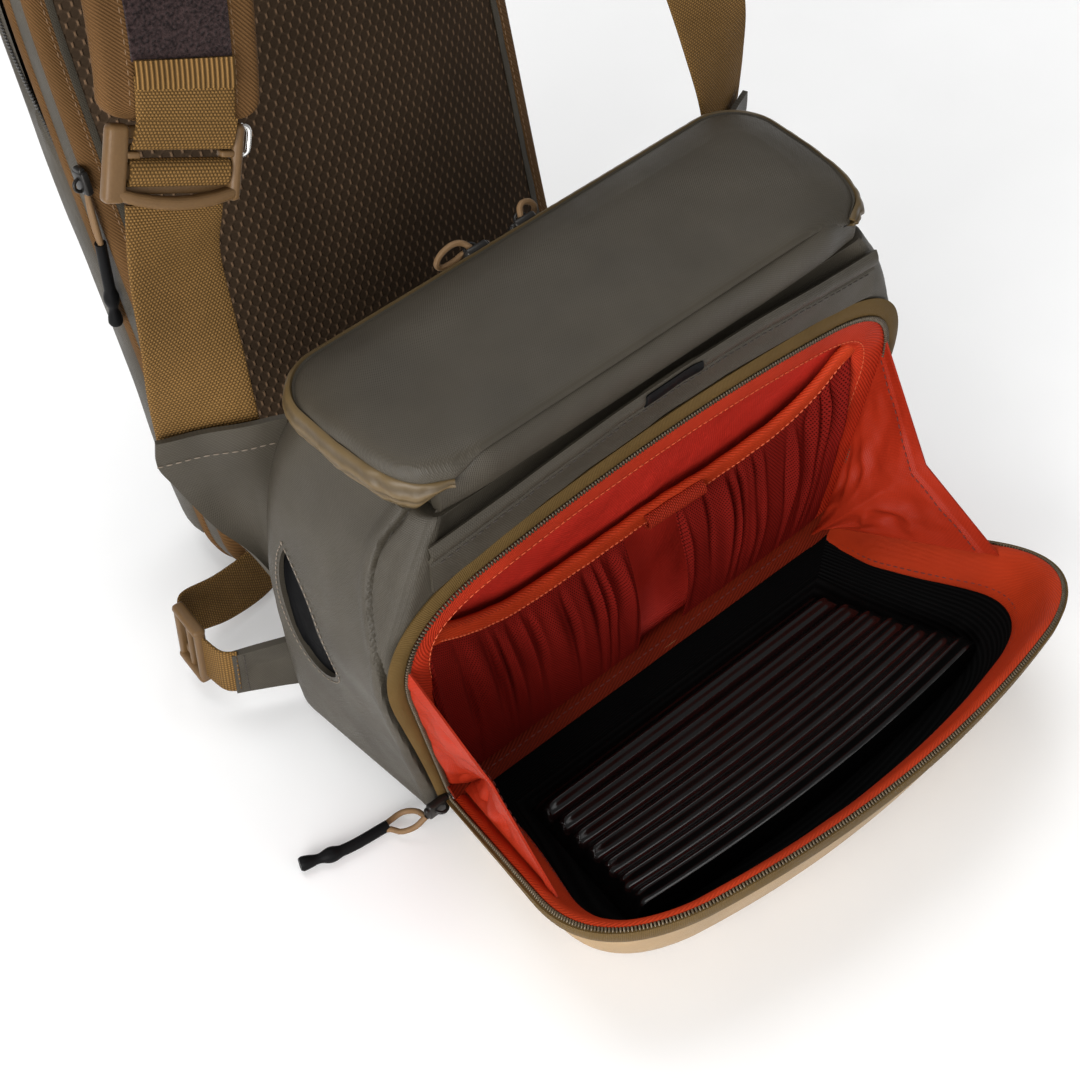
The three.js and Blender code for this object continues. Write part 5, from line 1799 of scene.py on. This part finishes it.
class CHESTPACK_OT_rear_bag(bpy.types.Operator):
    """Makes the rear bag with its zip partly undone"""

    bl_idname = "chest_pack.rear_bag"
    bl_label = "Rear bag"

    def execute(self, context):
        self.shell()
        self.zip()
        low, high = (Vector(c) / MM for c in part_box("bag_slider"))
        middle = (low + high) / 2
        basis = Matrix(((0, 0.29, 0.96), (0, 0.96, -0.29), (-1, 0, 0))).transposed().to_4x4()
        zip_slider("bag_zip_slider", Matrix.Translation(middle) @ basis, ["bag_slider"])
        return {"FINISHED"}

    def ring(self, inset, depth, mouth=False):
        loop = panel_edge(inset, 26 + inset, 324 - inset)
        ring = []
        for p in loop:
            undone = ease(188, 262, p.y) if mouth and p.x < -40 else 0.0
            ring.append(panel_point(p.x, p.y, depth + 12 * undone))
        return ring

    def shell(self):
        profile = [
            (1.6, 16.8), (0.2, 18.5), (0.4, 24), (1.4, 30), (3.0, 35.5),
            (5.6, 40), (9, 44), (14, 47), (22, 49.2), (34, 50.6),
        ]
        loops = [self.ring(inset, depth, i < 2) for i, (inset, depth) in enumerate(profile)]
        base = loops[-1]
        middle = panel_point(0, 175, 53)
        for share in (0.75, 0.45, 0.15, 0.0):
            loops.append([middle + (p - middle) * share + Vector((0, 2.0 * (1 - share), 0)) for p in base])
        out = Vector((0, 1.0, -0.3))
        slack = []
        for i, loop in enumerate(loops):
            soft = ease(0.05, 0.4, i / (len(loops) - 1))
            slack.append([p + out * (1.8 * crease(p, 60) + 0.6 * crease(p, 22, 2)) * soft for p in loop])
        bag = thicken(laid("rear_bag_cloth", slack, True), 1.8, -1.0)
        dress(bag, "Olive coated cloth", ["back_bag"], 60)

    def zip(self):
        """Black coils on both edges of the undone zip."""

        def edge(inset, depth, mouth):
            loop = self.ring(inset, depth, mouth)
            flat = panel_edge(inset, 26 + inset, 324 - inset)
            return [p for p, q in zip(loop, flat) if q.x < -60 and 200 < q.y < 318]

        for name, inset, depth, mouth in (("panel", 2.2, 17.4, False), ("bag", 0.2, 15.9, True)):
            line = edge(inset, depth, mouth)
            zip_teeth(f"bag_coil_{name}", line, [Vector((-1, 0, 0))], "Black zip coil")


class CHESTPACK_PT_pieces(bpy.types.Panel):
    """Lists the pack's pieces, sizes and colours"""

    bl_idname = "CHESTPACK_PT_pieces"
    bl_label = "Chest pack"
    bl_space_type = "VIEW_3D"
    bl_region_type = "UI"
    bl_category = "Chest pack"

    def draw(self, context):
        for group in (context.scene.chest_pack_sizes, context.scene.chest_pack_colours):
            for key in group.__annotations__:
                self.layout.prop(group, key)
        for operator in operators:
            self.layout.operator(operator.bl_idname)


operators = (
    CHESTPACK_OT_finishes,
    CHESTPACK_OT_stage,
    CHESTPACK_OT_zip_pulls,
    CHESTPACK_OT_body,
    CHESTPACK_OT_lid,
    CHESTPACK_OT_front,
    CHESTPACK_OT_front_zip,
    CHESTPACK_OT_lining,
    CHESTPACK_OT_tray,
    CHESTPACK_OT_gussets,
    CHESTPACK_OT_shoulder_straps,
    CHESTPACK_OT_side_straps,
    CHESTPACK_OT_back_panel,
    CHESTPACK_OT_rear_bag,
)
classes = (ChestPackColours, ChestPackSizes, *operators, CHESTPACK_PT_pieces)


def register():
    for item in classes:
        bpy.utils.register_class(item)
    bpy.types.Scene.chest_pack_colours = bpy.props.PointerProperty(type=ChestPackColours)
    bpy.types.Scene.chest_pack_sizes = bpy.props.PointerProperty(type=ChestPackSizes)


def unregister():
    del bpy.types.Scene.chest_pack_colours
    del bpy.types.Scene.chest_pack_sizes
    for item in reversed(classes):
        bpy.utils.unregister_class(item)


def main():
    register()
    bpy.ops.chest_pack.finishes()
    bpy.ops.chest_pack.stage()
    bpy.ops.chest_pack.zip_pulls()
    bpy.ops.chest_pack.body()
    bpy.ops.chest_pack.lid()
    bpy.ops.chest_pack.front()
    bpy.ops.chest_pack.front_zip()
    bpy.ops.chest_pack.lining()
    bpy.ops.chest_pack.tray()
    bpy.ops.chest_pack.gussets()
    bpy.ops.chest_pack.shoulder_straps()
    bpy.ops.chest_pack.side_straps()
    bpy.ops.chest_pack.back_panel()
    bpy.ops.chest_pack.rear_bag()
    deselect()


if __name__ == "__main__":
    main()
